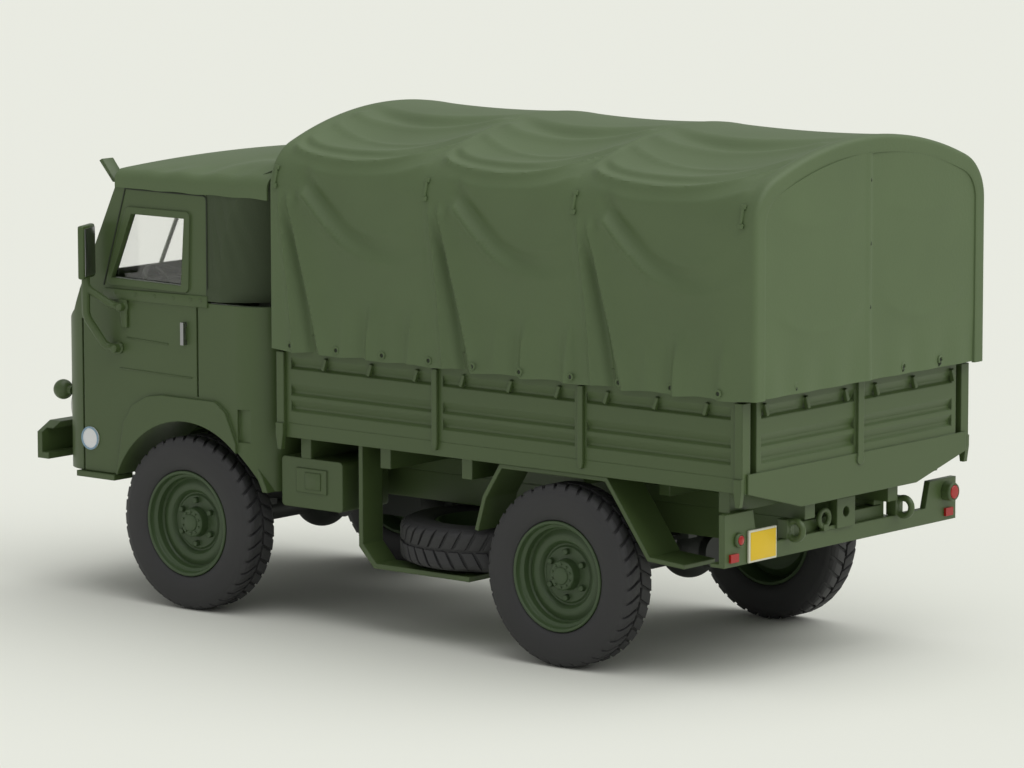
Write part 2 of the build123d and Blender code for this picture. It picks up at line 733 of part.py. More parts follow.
def tailgate():
    """Tailgate with its middle post, its rope hooks and the skirt below the platform."""
    base = bed_bottom + bed_rail_height
    span = 2 * (bed_half - side_wall - post_width)
    panel = ribbed_panel(span, (0, span / 2, span), side_top - base)
    board = Pos(bed_rear, -span / 2, base) * Rot(0, 0, 90) * panel
    for side in (-1, 1):
        for y in tail_hooks:
            board += Pos(bed_rear, side * y, hook_top_z) * Rot(0, 0, 90) * rope_hook(20)
    board += block(bed_rear - post_proud, bed_rear, -tail_post_half, tail_post_half, base - 0.2, side_top)
    board += rod_x(0, base - 0.2, tail_post_half + 0.15, bed_rear - post_proud, bed_rear)
    edge = bed_half - 0.4
    lap = base + 0.6
    skirt = [(-edge, lap), (edge, lap), (edge, bed_bottom), (12.9, 23.4), (-12.9, 23.4), (-edge, bed_bottom)]
    return board + cross_plate(skirt, bed_rear - 0.3, bed_rear)


def headboard():
    base = bed_bottom + bed_rail_height
    inside = bed_half - side_wall
    return block(bed_front - side_wall, bed_front, -inside, inside, base, side_top)


def bed_posts():
    """Corner and middle posts of the left side, each with a foot below the rail."""
    base = bed_bottom + bed_rail_height
    top = cover_hem_z - 0.3
    posts = []
    # place along the bed, foot length
    span = bed_front - bed_rear
    for share, foot in zip(post_shares, (3.7, 1.2, 1.2, 3.7)):
        x = bed_rear + post_width / 2 + (span - post_width) * share
        corner = share in (0.0, 1.0)
        inner = bed_half - side_wall if corner else bed_half
        half = post_width / 2 if corner else post_width * 0.35
        post = block(x - half, x + half, inner, bed_half + post_proud, base, top)
        tip = half * 0.5
        outline = [(x - half, base), (x + half, base), (x + half, base - foot * 0.4), (x + tip, base - foot),
                   (x - tip, base - foot), (x - half, base - foot * 0.4)]
        post += side_plate(outline, bed_half, bed_half + post_proud + (0.25 if corner else 0.0))
        posts.append(post)
    return posts[0] + posts[1] + posts[2] + posts[3]


def cover_section(x, sag, inset):
    """Arched outline of the cover across the bed at one station."""
    half = cover_half - inset
    side_z = shoulder_z - sag * 0.6
    radius = shoulder_radius - inset
    bend = math.radians(68.4)
    knee = (half - radius + radius * math.cos(bend), side_z + radius * math.sin(bend))
    mid = (half - radius + radius * math.cos(bend / 2), side_z + radius * math.sin(bend / 2))
    base = cover_hem_z if inset == 0 else cover_hem_z - 1
    crown = crown_z - sag - inset
    left = Line((x, half, base), (x, half, side_z))
    left_knee = ThreePointArc((x, half, side_z), (x, *mid), (x, *knee))
    top = ThreePointArc((x, *knee), (x, 0, crown), (x, -knee[0], knee[1]))
    right_knee = ThreePointArc((x, -knee[0], knee[1]), (x, -mid[0], mid[1]), (x, -half, side_z))
    right = Line((x, -half, side_z), (x, -half, base))
    floor = Line((x, -half, base), (x, half, base))
    return make_face([left, left_knee, top, right_knee, right, floor])


def cargo_cover():
    """Canvas cover over the hoops, closed at both ends and open below."""
    ends = (rear_x + hoop_inset, cover_front - hoop_inset)
    outer_faces = [cover_section(rear_x, 0, 0)]
    inner_faces = [cover_section(rear_x + cover_wall, 0, cover_wall)]
    for i in range(2 * bay_count + 1):
        x = ends[0] + (ends[1] - ends[0]) * i / (2 * bay_count)
        sag = bay_sag if i % 2 else 0
        outer_faces.append(cover_section(x, sag, 0))
        inner_faces.append(cover_section(x, sag, cover_wall))
    outer_faces.append(cover_section(cover_front, 0, 0))
    inner_faces.append(cover_section(cover_front - cover_wall, 0, cover_wall))
    return loft(outer_faces, ruled=True) - loft(inner_faces, ruled=True)


# Rear wheel mudguards, boxes under the bed and the rear beam

def rear_mudguard():
    """Bent plate over the left rear wheel, under the platform."""
    sheet = 0.6
    top = bed_bottom - fit
    x = rear_axle_x
    foot = spare_z + tyre_width + gap
    path = [(x + 15.4, foot), (x + 14.0, 21.6), (x + 11.0, top), (x - 7.4, top), (x - 14.6, 16.4), (x - 20.4, 16.0)]
    return bent_sheet(path, sheet, 17.6, 24.2)


box_front = cab_rear - 0.4
box_rear = spare_x + tyre_radius + 5.25


def toolbox():
    """Tool box under the left side with a raised panel on its face."""
    case = block(box_rear, box_front, 13.6, 23.2, 16.4, 23.4)
    case = fillet(case.edges().filter_by(Axis.Y), 0.6)
    border = (box_front - box_rear) * 0.25
    panel = block(box_rear + border, box_front - border, 23.2, 23.4, 18.6, 22.0)
    hangers = block(box_rear + 2.0, box_rear + 3.0, 14.0, 15.0, 23.4, bed_bottom)
    hangers += block(box_front - 3.0, box_front - 2.0, 14.0, 15.0, 23.4, bed_bottom)
    return case + panel + hangers


def fuel_tank():
    """Fuel tank under the right side with its straps and filler."""
    case = block(box_rear - 6.0, box_front, -23.2, -13.0, 14.6, 23.4)
    case = fillet(case.edges().filter_by(Axis.X), 2.2)
    for x in (box_rear - 3.0, box_front - 3.5):
        strap = block(x, x + 1.2, -23.5, -12.7, 14.3, 23.7)
        case += fillet(strap.edges().filter_by(Axis.X), 2.5)
        case += block(x, x + 1.2, -15.6, -14.4, 23.4, bed_bottom)
    return case + Pos(box_front - 8.0, -21.6, 23.6) * Cylinder(1.5, 2.4)


def rear_beam():
    """Channel beam across the tail with the raised ears that carry the lamps."""
    x0, x1 = beam_x, beam_x + beam_wall
    top = beam_bottom + beam_height
    left, right = (beam_bottom + height for height in ear_heights)
    outline = [(-beam_half, beam_bottom), (beam_half, beam_bottom), (beam_half, left), (ear_start_y, left),
               (ear_start_y - 1.0, top), (-ear_start_y + 1.0, top), (-ear_start_y, right), (-beam_half, right)]
    beam = cross_plate(outline, x0, x1)
    beam += block(x1, x1 + 1.4, -beam_half, beam_half, beam_bottom, beam_bottom + 0.5)
    return beam


def tail_lamp():
    """Round lamp on the left ear."""
    return rod_x(beam_half - 2.3, 20.4, 1.2, beam_x - 1.4, beam_x)


def reflector():
    """Rectangular reflector under the left lamp."""
    return block(beam_x - 0.35, beam_x, 23.2, 24.9, 17.2, 18.3)


plate_y = (14.2, 20.2)
plate_z = (16.7, 21.0)


def number_plate():
    x0 = beam_x - 0.5
    return block(x0, beam_x, plate_y[0], plate_y[1], plate_z[0], plate_z[1])


def coupling():
    """Square coupling plate with its bore and the drop hook."""
    plate = block(beam_x - 0.5, beam_x + beam_wall, -2.0, 2.0, beam_bottom + beam_height, 22.8)
    plate -= rod_x(0, 20.9, 0.7, beam_x - 1, beam_x + 2)
    top = beam_bottom + beam_height
    hook_y = 4.3
    lug = block(beam_x - 0.4, beam_x + 0.4, hook_y - 0.5, hook_y + 0.5, top, top + 0.9)
    hook = Pos(beam_x, hook_y, top + 1.7) * Rot(0, 90, 0) * Torus(1.1, 0.36)
    return plate + block(beam_x - 0.2, beam_x + 0.3, 0, hook_y, top, top + 0.5) + lug + hook


def shackle():
    """Towing eye of the left side."""
    top = beam_bottom + beam_height
    eye = Pos(beam_x - 1.2, 12.2, top + 1.2) * Rot(90, 0, 0) * Torus(1.2, 0.45)
    return eye + block(beam_x - 0.4, beam_x + 1.2, 11.4, 13.0, top, top + 2.6)


def sign_disc():
    """Blank disc on the front of the left side."""
    return rod_y(front_axle_x + 18.9, 22.7, 1.65, cab_half, cab_half + 0.15)


# All pieces by name

pieces = {
    "chassis_frame": chassis_frame(),
    "cross_members": cross_members(),
    "door_handles": both(door_handle()),
    "leaf_springs_front": leaf_spring(front_axle_x, 11.5),
    "leaf_springs_rear": leaf_spring(rear_axle_x, 9.5),
}
diff_offset = -3.0
for name, x in (("front", front_axle_x), ("rear", rear_axle_x)):
    pieces["axle_housing_" + name] = axle_housing(x, diff_offset)
    pieces["axle_pin_" + name] = axle_pin(x)
    left_rim = rim(x, tyre_radius)
    left_tyre = tyre(x, tyre_radius)
    pieces["rim_" + name + "_left"] = left_rim
    pieces["rim_" + name + "_right"] = mirrored(left_rim)
    pieces["tyre_" + name + "_left"] = left_tyre
    pieces["tyre_" + name + "_right"] = mirrored(left_tyre)
pieces["spare_rim"] = laid_flat(rim(0, 0))
pieces["spare_tyre"] = laid_flat(tyre(0, 0))
pieces["spare_carrier"] = spare_carrier()
pieces["engine_and_gearbox"] = engine_and_gearbox()
pieces["propshafts"] = propshafts()
pieces["front_bumper"] = front_bumper()
pieces["cab_shell"] = cab_shell()
pieces["cab_canvas"] = cab_canvas()
pieces["header_visor"] = header_visor()
pieces["glazing"] = glazing()
pieces["cab_interior"] = cab_interior()
pieces["dashboard"] = dashboard()
pieces["steering_wheel"] = steering_wheel()
pieces["grille"] = grille()
pieces["wipers"] = wipers()
pieces["side_steps"] = side_steps()
pieces["sign_disc"] = sign_disc()
pieces["runners"] = runners()
pieces["bearers"] = bearers()
pieces["platform"] = platform()
pieces["tailgate"] = tailgate()
pieces["headboard"] = headboard()
pieces["cargo_cover"] = cargo_cover()
pieces["toolbox"] = toolbox()
pieces["fuel_tank"] = fuel_tank()
pieces["rear_beam"] = rear_beam()
pieces["number_plate"] = number_plate()
pieces["coupling"] = coupling()
# pairs that share a node, made once for the left side
for name, maker in (("bed_posts", bed_posts), ("rear_mudguards", rear_mudguard), ("headlamps", headlamp),
                    ("marker_lamps", marker_lamp), ("tail_lamps", tail_lamp), ("reflectors", reflector),
                    ("shackles", shackle)):
    pieces[name] = both(maker())
for name, maker in (("dropside", dropside), ("mirror", mirror_arm)):
    made = maker()
    pieces[name + "_left"] = made
    pieces[name + "_right"] = mirrored(made)

os.makedirs("parts", exist_ok=True)
for name, shape in pieces.items():
    export_step(shape, f"parts/{name}.step")
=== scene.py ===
import json
import math

import bpy
from bpy.props import FloatProperty, FloatVectorProperty, IntProperty, PointerProperty
from bpy.types import Operator, Panel, PropertyGroup
from mathutils import Matrix, Vector


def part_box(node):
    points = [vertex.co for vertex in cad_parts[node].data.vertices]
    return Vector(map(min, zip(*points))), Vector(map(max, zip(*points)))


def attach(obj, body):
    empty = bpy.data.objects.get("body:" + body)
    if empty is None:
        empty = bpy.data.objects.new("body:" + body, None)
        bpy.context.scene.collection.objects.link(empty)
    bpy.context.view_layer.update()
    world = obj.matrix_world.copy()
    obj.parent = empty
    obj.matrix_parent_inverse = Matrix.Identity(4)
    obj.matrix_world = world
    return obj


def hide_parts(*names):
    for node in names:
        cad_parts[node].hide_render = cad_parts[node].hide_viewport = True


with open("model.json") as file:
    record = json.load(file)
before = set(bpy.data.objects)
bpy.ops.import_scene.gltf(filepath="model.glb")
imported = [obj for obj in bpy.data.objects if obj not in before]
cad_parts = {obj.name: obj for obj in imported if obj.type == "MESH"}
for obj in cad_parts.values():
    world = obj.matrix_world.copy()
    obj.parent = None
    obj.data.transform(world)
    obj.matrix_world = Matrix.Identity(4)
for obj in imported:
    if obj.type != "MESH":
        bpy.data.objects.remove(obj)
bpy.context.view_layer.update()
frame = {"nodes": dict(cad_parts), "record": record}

bl_info = {
    "name": "Model cargo truck",
    "version": (1, 0, 0),
    "blender": (4, 5, 0),
    "location": "View3D > Sidebar > Truck",
    "description": "Builds the covers, wheels, fittings and stage of a model military cargo truck",
    "category": "Object",
}

mm = 0.001


# Selecting and finishing pieces

def deselect():
    """Leaves object mode with nothing selected."""
    if bpy.context.mode != "OBJECT":
        bpy.ops.object.mode_set(mode="OBJECT")
    bpy.ops.object.select_all(action="DESELECT")


def choose(piece):
    """Makes one piece the active and only selected one."""
    deselect()
    piece.select_set(True)
    bpy.context.view_layer.objects.active = piece


def settle(piece):
    """Writes the place, turn and scale of a piece into its mesh."""
    choose(piece)
    bpy.ops.object.transform_apply(location=True, rotation=True, scale=True)


def finish_piece(piece, name, material, body="root", smooth=30):
    """Names a piece, gives it its finish and its body, and shades it."""
    piece.name = name
    piece.data.name = name
    piece.data.materials.clear()
    piece.data.materials.append(bpy.data.materials[material])
    settle(piece)
    bpy.ops.object.shade_smooth_by_angle(angle=math.radians(smooth))
    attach(piece, body)


# Modelling

def pencil(name, points):
    """A line of edges from point to point, in millimetres, as a new object that stays in edit mode."""
    deselect()
    bpy.ops.mesh.primitive_plane_add(size=mm)
    line = bpy.context.active_object
    line.name = name
    bpy.ops.object.mode_set(mode="EDIT")
    bpy.ops.mesh.select_all(action="SELECT")
    bpy.ops.mesh.merge(type="CENTER")
    places = [Vector(point) * mm for point in points]
    bpy.ops.transform.translate(value=places[0])
    for start, end in zip(places, places[1:]):
        bpy.ops.mesh.extrude_vertices_move(TRANSFORM_OT_translate={"value": end - start})
    return line


def tidy_mesh():
    """Merges doubles and turns the faces outwards, in edit mode."""
    bpy.ops.mesh.select_all(action="SELECT")
    bpy.ops.mesh.remove_doubles(threshold=0.002 * mm)
    bpy.ops.mesh.normals_make_consistent(inside=False)
    bpy.ops.object.mode_set(mode="OBJECT")


def turned(name, outline, steps):
    """A closed (radius, depth) outline spun round the Y axis."""
    piece = pencil(name, [(0, -depth, radius) for radius, depth in outline])
    bpy.ops.mesh.select_all(action="SELECT")
    bpy.ops.mesh.spin(steps=steps, angle=2 * math.pi, center=(0, 0, 0), axis=(0, 1, 0))
    tidy_mesh()
    return piece


def prism(name, outline, run, soft=0.0):
    """A flat outline filled and drawn out along a run, with its edges broken by a small bevel."""
    piece = pencil(name, outline)
    bpy.ops.mesh.select_all(action="SELECT")
    bpy.ops.mesh.edge_face_add()
    bpy.ops.mesh.extrude_region_move(TRANSFORM_OT_translate={"value": Vector(run) * mm})
    bpy.ops.mesh.select_all(action="SELECT")
    bpy.ops.mesh.normals_make_consistent(inside=False)
    if soft:
        bpy.ops.mesh.bevel(offset=soft * mm, segments=2, affect="EDGES")
    tidy_mesh()
    return piece


def panel(name, across, y, heights, depth, soft=0.0):
    """A rectangle that faces sideways, drawn out along Y."""
    (x0, x1), (z0, z1) = across, heights
    return prism(name, [(x0, y, z0), (x1, y, z0), (x1, y, z1), (x0, y, z1)], (0, depth, 0), soft)


def ring_of(piece, count):
    """Repeats a piece round the Y axis in its own mesh."""
    choose(piece)
    bpy.ops.object.mode_set(mode="EDIT")
    bpy.ops.mesh.select_all(action="SELECT")
    bpy.ops.mesh.spin(steps=count - 1, dupli=True, angle=2 * math.pi * (count - 1) / count,
                      center=(0, 0, 0), axis=(0, 1, 0))
    bpy.ops.object.mode_set(mode="OBJECT")


def tube(name, points, radius):
    """A round bar along a line of points in millimetres."""
    pencil(name, points)
    bpy.ops.object.mode_set(mode="OBJECT")
    bpy.ops.object.convert(target="CURVE")
    line = bpy.context.active_object
    line.data.bevel_depth = radius * mm
    line.data.bevel_resolution = 3
    line.data.use_fill_caps = True
    bpy.ops.object.convert(target="MESH")
    return bpy.context.active_object


def joined(pieces):
    """Makes one object of several."""
    deselect()
    for piece in pieces:
        piece.select_set(True)
    bpy.context.view_layer.objects.active = pieces[0]
    bpy.ops.object.join()
    return bpy.context.active_object


def copied(piece, location=(0, 0, 0), rotation=(0, 0, 0), scale=(1, 1, 1)):
    """A copy with its own mesh at another place in metres."""
    twin = piece.copy()
    twin.data = piece.data.copy()
    bpy.context.collection.objects.link(twin)
    twin.location = location
    twin.rotation_euler = rotation
    twin.scale = scale
    return twin


def mirrored(piece):
    """The piece turned into its mirror image across the model, in its own mesh."""
    piece.scale = (1, -1, 1)
    settle(piece)
    bpy.ops.object.mode_set(mode="EDIT")
    tidy_mesh()
    return piece


def both_sides(piece):
    """The piece with its mirror image on the other side of the model."""
    return joined([piece, mirrored(copied(piece))])


def removed(piece):
    """Takes away a pattern piece once its copies stand."""
    bpy.data.objects.remove(piece, do_unlink=True)


# Finishes

def nodes_of(name):
    """A new material with its node tree and its shader."""
    material = bpy.data.materials.new(name)
    material.use_nodes = True
    tree = material.node_tree
    return material, tree, tree.nodes["Principled BSDF"]


def painted(name, colour, roughness, mottle=0.06, grain=0.02, edge=0.0):
    """Satin paint on a casting, a little uneven in tone, with soft edges."""
    material, tree, shader = nodes_of(name)
    place = tree.nodes.new("ShaderNodeTexCoord")

    def noise(scale, detail):
        cloud = tree.nodes.new("ShaderNodeTexNoise")
        cloud.inputs["Scale"].default_value = scale
        cloud.inputs["Detail"].default_value = detail
        tree.links.new(place.outputs["Object"], cloud.inputs["Vector"])
        return cloud.outputs["Fac"]

    tone = tree.nodes.new("ShaderNodeMix")
    tone.data_type = "RGBA"
    factor, low, high = (tone.inputs[i] for i in (0, 6, 7))
    low.default_value = (*(c * (1 - mottle) for c in colour), 1)
    high.default_value = (*(c * (1 + mottle) for c in colour), 1)
    tree.links.new(noise(90, 4), factor)
    tree.links.new(tone.outputs[2], shader.inputs["Base Color"])
    shader.inputs["Roughness"].default_value = roughness
    bump = tree.nodes.new("ShaderNodeBump")
    bump.inputs["Strength"].default_value = grain
    bump.inputs["Distance"].default_value = 0.1 * mm
    tree.links.new(noise(2600, 2), bump.inputs["Height"])
    if edge:
        soft = tree.nodes.new("ShaderNodeBevel")
        soft.samples = 4
        soft.inputs["Radius"].default_value = edge
        tree.links.new(soft.outputs["Normal"], bump.inputs["Normal"])
    tree.links.new(bump.outputs["Normal"], shader.inputs["Normal"])
    return material


def plain(name, colour, roughness, metallic=0.0, transmission=0.0):
    """An even finish, such as metal or clear plastic."""
    material, _, shader = nodes_of(name)
    shader.inputs["Base Color"].default_value = (*colour, 1)
    shader.inputs["Roughness"].default_value = roughness
    shader.inputs["Metallic"].default_value = metallic
    shader.inputs["Transmission Weight"].default_value = transmission
    return material


class TruckFinishes(PropertyGroup):
    body_green: FloatVectorProperty(
        name="Body green", description="Paint of the cab and the bed",
        subtype="COLOR", default=(0.062, 0.098, 0.031), min=0, max=1)
    wheel_green: FloatVectorProperty(
        name="Wheel green", description="Paint of the wheel discs",
        subtype="COLOR", default=(0.049, 0.083, 0.032), min=0, max=1)
    canvas_green: FloatVectorProperty(
        name="Canvas green", description="Colour of the cover and the cab roof",
        subtype="COLOR", default=(0.093, 0.138, 0.057), min=0, max=1)
    chassis_black: FloatVectorProperty(
        name="Chassis black", description="Paint of the frame and the axles",
        subtype="COLOR", default=(0.030, 0.034, 0.030), min=0, max=1)
    tyre_black: FloatVectorProperty(
        name="Tyre black", description="Colour of the rubber",
        subtype="COLOR", default=(0.031, 0.031, 0.032), min=0, max=1)
    edge_softness: FloatProperty(
        name="Edge softness", description="Radius that the paint rounds sharp edges to",
        subtype="DISTANCE", default=0.25 * mm, min=0)


def make_finishes(look):
    """All materials of the model. Those of the CAD nodes stand under the name of their slot."""
    soft = look.edge_softness
    # the cab's rear quarters get the canvas green at 0.45 of its strength: painted shade where the cargo cover
    # stands close behind them
    cab_canvas = [0.45 * c for c in look.canvas_green]
    painted("Cab canvas", cab_canvas, 0.65, 0.10, 0.25)
    # dark green of the real lacing cord, used also as painted shade in the eyelets' holes and along the door's
    # engraved joints
    painted("Dark cord and painted shade", (0.020, 0.029, 0.014), 0.7)
    plain("Disc ring", (0.23, 0.36, 0.46), 0.4)
    plain("Plate rim", (0.62, 0.62, 0.50), 0.4)
    return {
        "body_green": painted("Body paint", look.body_green, 0.42, edge=soft),
        "wheel_green": painted("Wheel paint", look.wheel_green, 0.45, edge=soft * 0.5),
        "canvas_green": painted("Canvas", look.canvas_green, 0.6, 0.10, 0.25),
        "chassis_black": painted("Chassis paint", look.chassis_black, 0.5, edge=soft * 0.6),
        "interior_grey": painted("Interior paint", (0.11, 0.13, 0.09), 0.6, edge=soft),
        "tyre": painted("Tyre rubber", look.tyre_black, 0.62, 0.15, 0.12),
        "steel_pin": plain("Pin steel", (0.33, 0.33, 0.34), 0.3, 1.0),
        "clear_plastic": plain("Clear plastic", (1, 1, 1), 0.04, transmission=1.0),
        "lamp_clear": plain("Lamp glass", (0.80, 0.80, 0.78), 0.15),
        "lamp_red": plain("Red lens", (0.35, 0.010, 0.008), 0.18),
        "plate_yellow": plain("Plate yellow", (0.74, 0.50, 0.012), 0.45),
        "sign_white": plain("Disc white", (0.80, 0.81, 0.82), 0.4),
    }


class TRUCK_OT_finishes(Operator):
    """Gives every piece of the frame its paint, rubber or plastic"""
    bl_idname = "truck.finishes"
    bl_label = "Finishes"

    def execute(self, context):
        finishes = make_finishes(context.scene.truck_finishes)
        slots = {part["node"]: part["material_slot"] for part in frame["record"]["subparts"]}
        for name, node in frame["nodes"].items():
            node.data.materials.clear()
            node.data.materials.append(finishes[slots[name]])
        return {"FINISHED"}


# Tarpaulin over the bed

class TruckCover(PropertyGroup):
    half_width: FloatProperty(
        name="Half width", description="Middle of the model to the side sheet",
        subtype="DISTANCE", default=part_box("cargo_cover")[1].y)
    hem_height: FloatProperty(
        name="Hem height", description="Lower edge of the sheet above the ground",
        subtype="DISTANCE", default=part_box("cargo_cover")[0].z)
    crown_height: FloatProperty(
        name="Crown height", description="Ridge of the cover above the ground",
        subtype="DISTANCE", default=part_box("cargo_cover")[1].z)
    shoulder_height: FloatProperty(
        name="Shoulder height", description="Where the side starts to turn into the roof",
        subtype="DISTANCE", default=61.0 * mm)
    shoulder_radius: FloatProperty(
        name="Shoulder radius", description="Bend of the hoops", subtype="DISTANCE", default=6.65 * mm)
    bays: IntProperty(name="Bays", description="Spaces between the hoops", default=3, min=1)
    sag: FloatProperty(
        name="Sag", description="How far the roof hangs between two hoops",
        subtype="DISTANCE", default=1.75 * mm)
    fold_depth: FloatProperty(
        name="Fold depth", description="Height of a full fold", subtype="DISTANCE", default=0.85 * mm)
    border: FloatProperty(
        name="Border", description="Width of the hemmed arch round the rear curtain",
        subtype="DISTANCE", default=2.3 * mm)
    thickness: FloatProperty(
        name="Thickness", description="Thickness of the sheet", subtype="DISTANCE", default=0.4 * mm)


def ease(value, start, end):
    """Runs smoothly from 0 at start to 1 at end."""
    share = min(1.0, max(0.0, (value - start) / (end - start)))
    return share * share * (3 - 2 * share)


def through(points, at):
    """A smooth curve through (position, level) points."""
    last = len(points) - 1
    i = 0
    while i < last - 1 and at > points[i + 1][0]:
        i += 1
    (x0, y0), (x1, y1) = points[i], points[i + 1]
    before = points[max(i - 1, 0)]
    after = points[min(i + 2, last)]
    slope0 = (y1 - before[1]) / max(x1 - before[0], 1e-6)
    slope1 = (after[1] - y0) / max(after[0] - x0, 1e-6)
    span = x1 - x0
    t = min(1.0, max(0.0, (at - x0) / span))
    return ((2 * t ** 3 - 3 * t ** 2 + 1) * y0 + (t ** 3 - 2 * t ** 2 + t) * span * slope0
            + (3 * t ** 2 - 2 * t ** 3) * y1 + (t ** 3 - t ** 2) * span * slope1)


def crest(off, above, below):
    """Height of a fold at a distance from its crest line, 1 on the line, with its own fall to each side."""
    reach = above if off > 0 else below
    return math.exp(0.15 - math.sqrt((off / reach) ** 2 + 0.0225))


def hollow(off, reach):
    """Depth of a rounded hollow at a distance from its middle line, 1 on the line."""
    return math.exp(-(off / reach) ** 2)


class CoverShape:
    """The arch of the cover and its folds. Lengths are in millimetres, girth runs up from the left hem."""

    # swags of the roof, each a crest line by (share of the bay behind its hoop, girth)
    eave = ((0, 29.8), (0.12, 28.1), (0.32, 27.2), (0.58, 27.2), (0.78, 28.5), (0.9, 30.6), (1, 34.5))
    under_eave = ((0, 27.0), (0.1, 26.2), (0.31, 25.0), (0.5, 24.9), (0.75, 25.5), (0.9, 26.8), (1, 28.2))
    low_swag = ((0, 33.0), (0.16, 30.6), (0.36, 29.9), (0.59, 30.4), (0.74, 32.2), (0.86, 34.8), (1, 38))
    thin_swag = ((0, 38.5), (0.11, 36.8), (0.29, 34.9), (0.48, 33.9), (0.66, 34.0), (0.8, 35.4), (1, 39))
    high_swag = ((0, 42.8), (0.15, 41.2), (0.31, 40.8), (0.5, 40.6), (0.7, 41.4), (0.85, 42.6), (1, 45))
    # pleats of the side, each by (girth, distance behind the hoop)
    steep_pleat = ((0, 3.4), (8, 2.6), (16, 1.5), (22, 0.8))
    fan_pleat = ((0, 8.7), (6, 6.9), (12, 5.1), (18, 3.4), (22, 2.5))
    # swag of the side by (distance behind the hoop, girth)
    side_swag = ((5.5, 21.8), (9.0, 18.2), (12.8, 15.2), (18, 13.4), (23, 13.6), (27, 15.5))
    shoulder_turn = math.radians(68.4)   # how far the hoops bend before the flatter roof
    end_margin = 1.3                     # from the sheet's ends to the first and the last hoop
    third_hoop_ahead = 1.5               # the last but one hoop stands this much ahead of an even pitch

    def __init__(self, cover):
        self.half = cover.half_width / mm
        self.hem = cover.hem_height / mm
        self.crown = cover.crown_height / mm
        self.shoulder = cover.shoulder_height / mm
        self.radius = cover.shoulder_radius / mm
        self.sag = cover.sag / mm
        self.depth = cover.fold_depth / mm
        self.side = self.shoulder - self.hem
        self.knee = self.side + self.radius * self.shoulder_turn
        knee_y = self.half - self.radius * (1 - math.cos(self.shoulder_turn))
        knee_z = self.shoulder + self.radius * math.sin(self.shoulder_turn)
        rise = self.crown - knee_z
        self.roof_radius = (knee_y ** 2 + rise ** 2) / (2 * rise)
        self.roof_half = math.asin(knee_y / self.roof_radius)
        self.girth = 2 * (self.knee + self.roof_radius * self.roof_half)
        low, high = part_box("cargo_cover")
        self.front = high.x / mm
        self.rear = low.x / mm
        pitch = (self.front - self.rear - 2 * self.end_margin) / cover.bays
        self.hoops = [self.front - self.end_margin - pitch * i for i in range(cover.bays + 1)]
        self.hoops[-2] += self.third_hoop_ahead

    def arch(self, girth):
        """(y, z) on the arch and the outward normal there."""
        mirrored = girth > self.girth / 2
        if mirrored:
            girth = self.girth - girth
        if girth < self.side:
            y, z, turn = self.half, self.hem + girth, 0.0
        elif girth < self.knee:
            turn = (girth - self.side) / self.radius
            y = self.half - self.radius * (1 - math.cos(turn))
            z = self.shoulder + self.radius * math.sin(turn)
        else:
            from_crown = self.roof_half - (girth - self.knee) / self.roof_radius
            y = self.roof_radius * math.sin(from_crown)
            z = self.crown - self.roof_radius * (1 - math.cos(from_crown))
            turn = math.pi / 2 - from_crown
        sign = -1 if mirrored else 1
        return (sign * y, z), (sign * math.cos(turn), math.sin(turn))

    def fold(self, x, girth):
        """How far the sheet stands out from the plain arch."""
        far = girth > self.girth / 2
        if far:
            girth = self.girth - girth
        bay = max([0] + [i for i, hoop in enumerate(self.hoops[:-1]) if hoop > x])
        behind = self.hoops[bay] - x
        share = min(1.0, max(0.0, behind / (self.hoops[bay] - self.hoops[bay + 1])))
        # no two bays fold alike
        strength = 1 + 0.12 * math.sin(2.3 * bay + 0.4)
        side = self.pleats(behind, girth, strength) + self.hem_folds(behind, girth, strength)
        if share < 1:
            side += self.side_swags(behind, girth)
        out = self.hang(share, girth, far)
        out += self.depth * (self.roof_swags(share, girth, strength, far) + side)
        # both ends lie flat on their hoops
        return out * ease(self.front - x, 0.2, 2.6) * ease(x - self.rear, 0.2, 2.4)

    def hang(self, share, girth, far):
        """How far the sheet hangs in between two hoops."""
        dip = math.sin(math.pi * share)
        # the crown stays nearly straight and falls away to the side in a step, widest in mid-bay
        crown_half, step_half = (24, 3.0) if far else (5.2 + 3.6 * dip, 1.3)
        past_crown = self.girth / 2 - girth - crown_half
        level = 0.24 + 0.76 * ease(past_crown, -1.3, step_half)
        roof = dip ** 0.72 * level * ease(girth, 25, 36)
        side = 0.25 * dip * (1 - ease(girth, 14, 30)) * ease(girth, 0, 10)
        return -self.sag * (roof + side)

    def roof_swags(self, share, girth, strength, far):
        """Swags that hang from hoop to hoop along the eave and over the roof."""
        above_eave = girth - through(self.eave, share)
        under_eave = girth - through(self.under_eave, share)
        low_swag = girth - through(self.low_swag, share)
        folds = 0.75 * crest(above_eave, 1.0, 0.65) - 0.45 * hollow(above_eave - 1.7, 1.0)
        folds += 0.45 * crest(under_eave, 0.8, 1.1) * ease(share, 0, 0.3)
        folds += 0.45 * strength * crest(low_swag, 1.8, 0.9)
        if not far:
            thin_swag = girth - through(self.thin_swag, share)
            high_swag = girth - through(self.high_swag, share)
            folds += 0.5 * crest(thin_swag, 1.2, 0.7) * (1 - ease(share, 0.6, 0.95))
            folds += 0.75 * strength * crest(high_swag, 2.6, 1.2)
        return folds * ease(share, 0, 0.08) * ease(1 - share, 0, 0.07)

    def pleats(self, behind, girth, strength):
        """The two pleats that fan out below each strap, with the valley between them."""
        steep_line = through(self.steep_pleat, girth)
        fan_line = through(self.fan_pleat, girth)
        folds = 0.8 * crest(behind - steep_line, 0.6, 0.5)
        folds += 1.1 * strength * crest(behind - fan_line, 0.85, 0.55)
        valley = behind - 0.42 * steep_line - 0.58 * fan_line
        return (folds * (1 - ease(girth, 20.5, 23.0))
                - 1.2 * hollow(valley, 0.8) * (1 - ease(girth, 15, 21.5)))

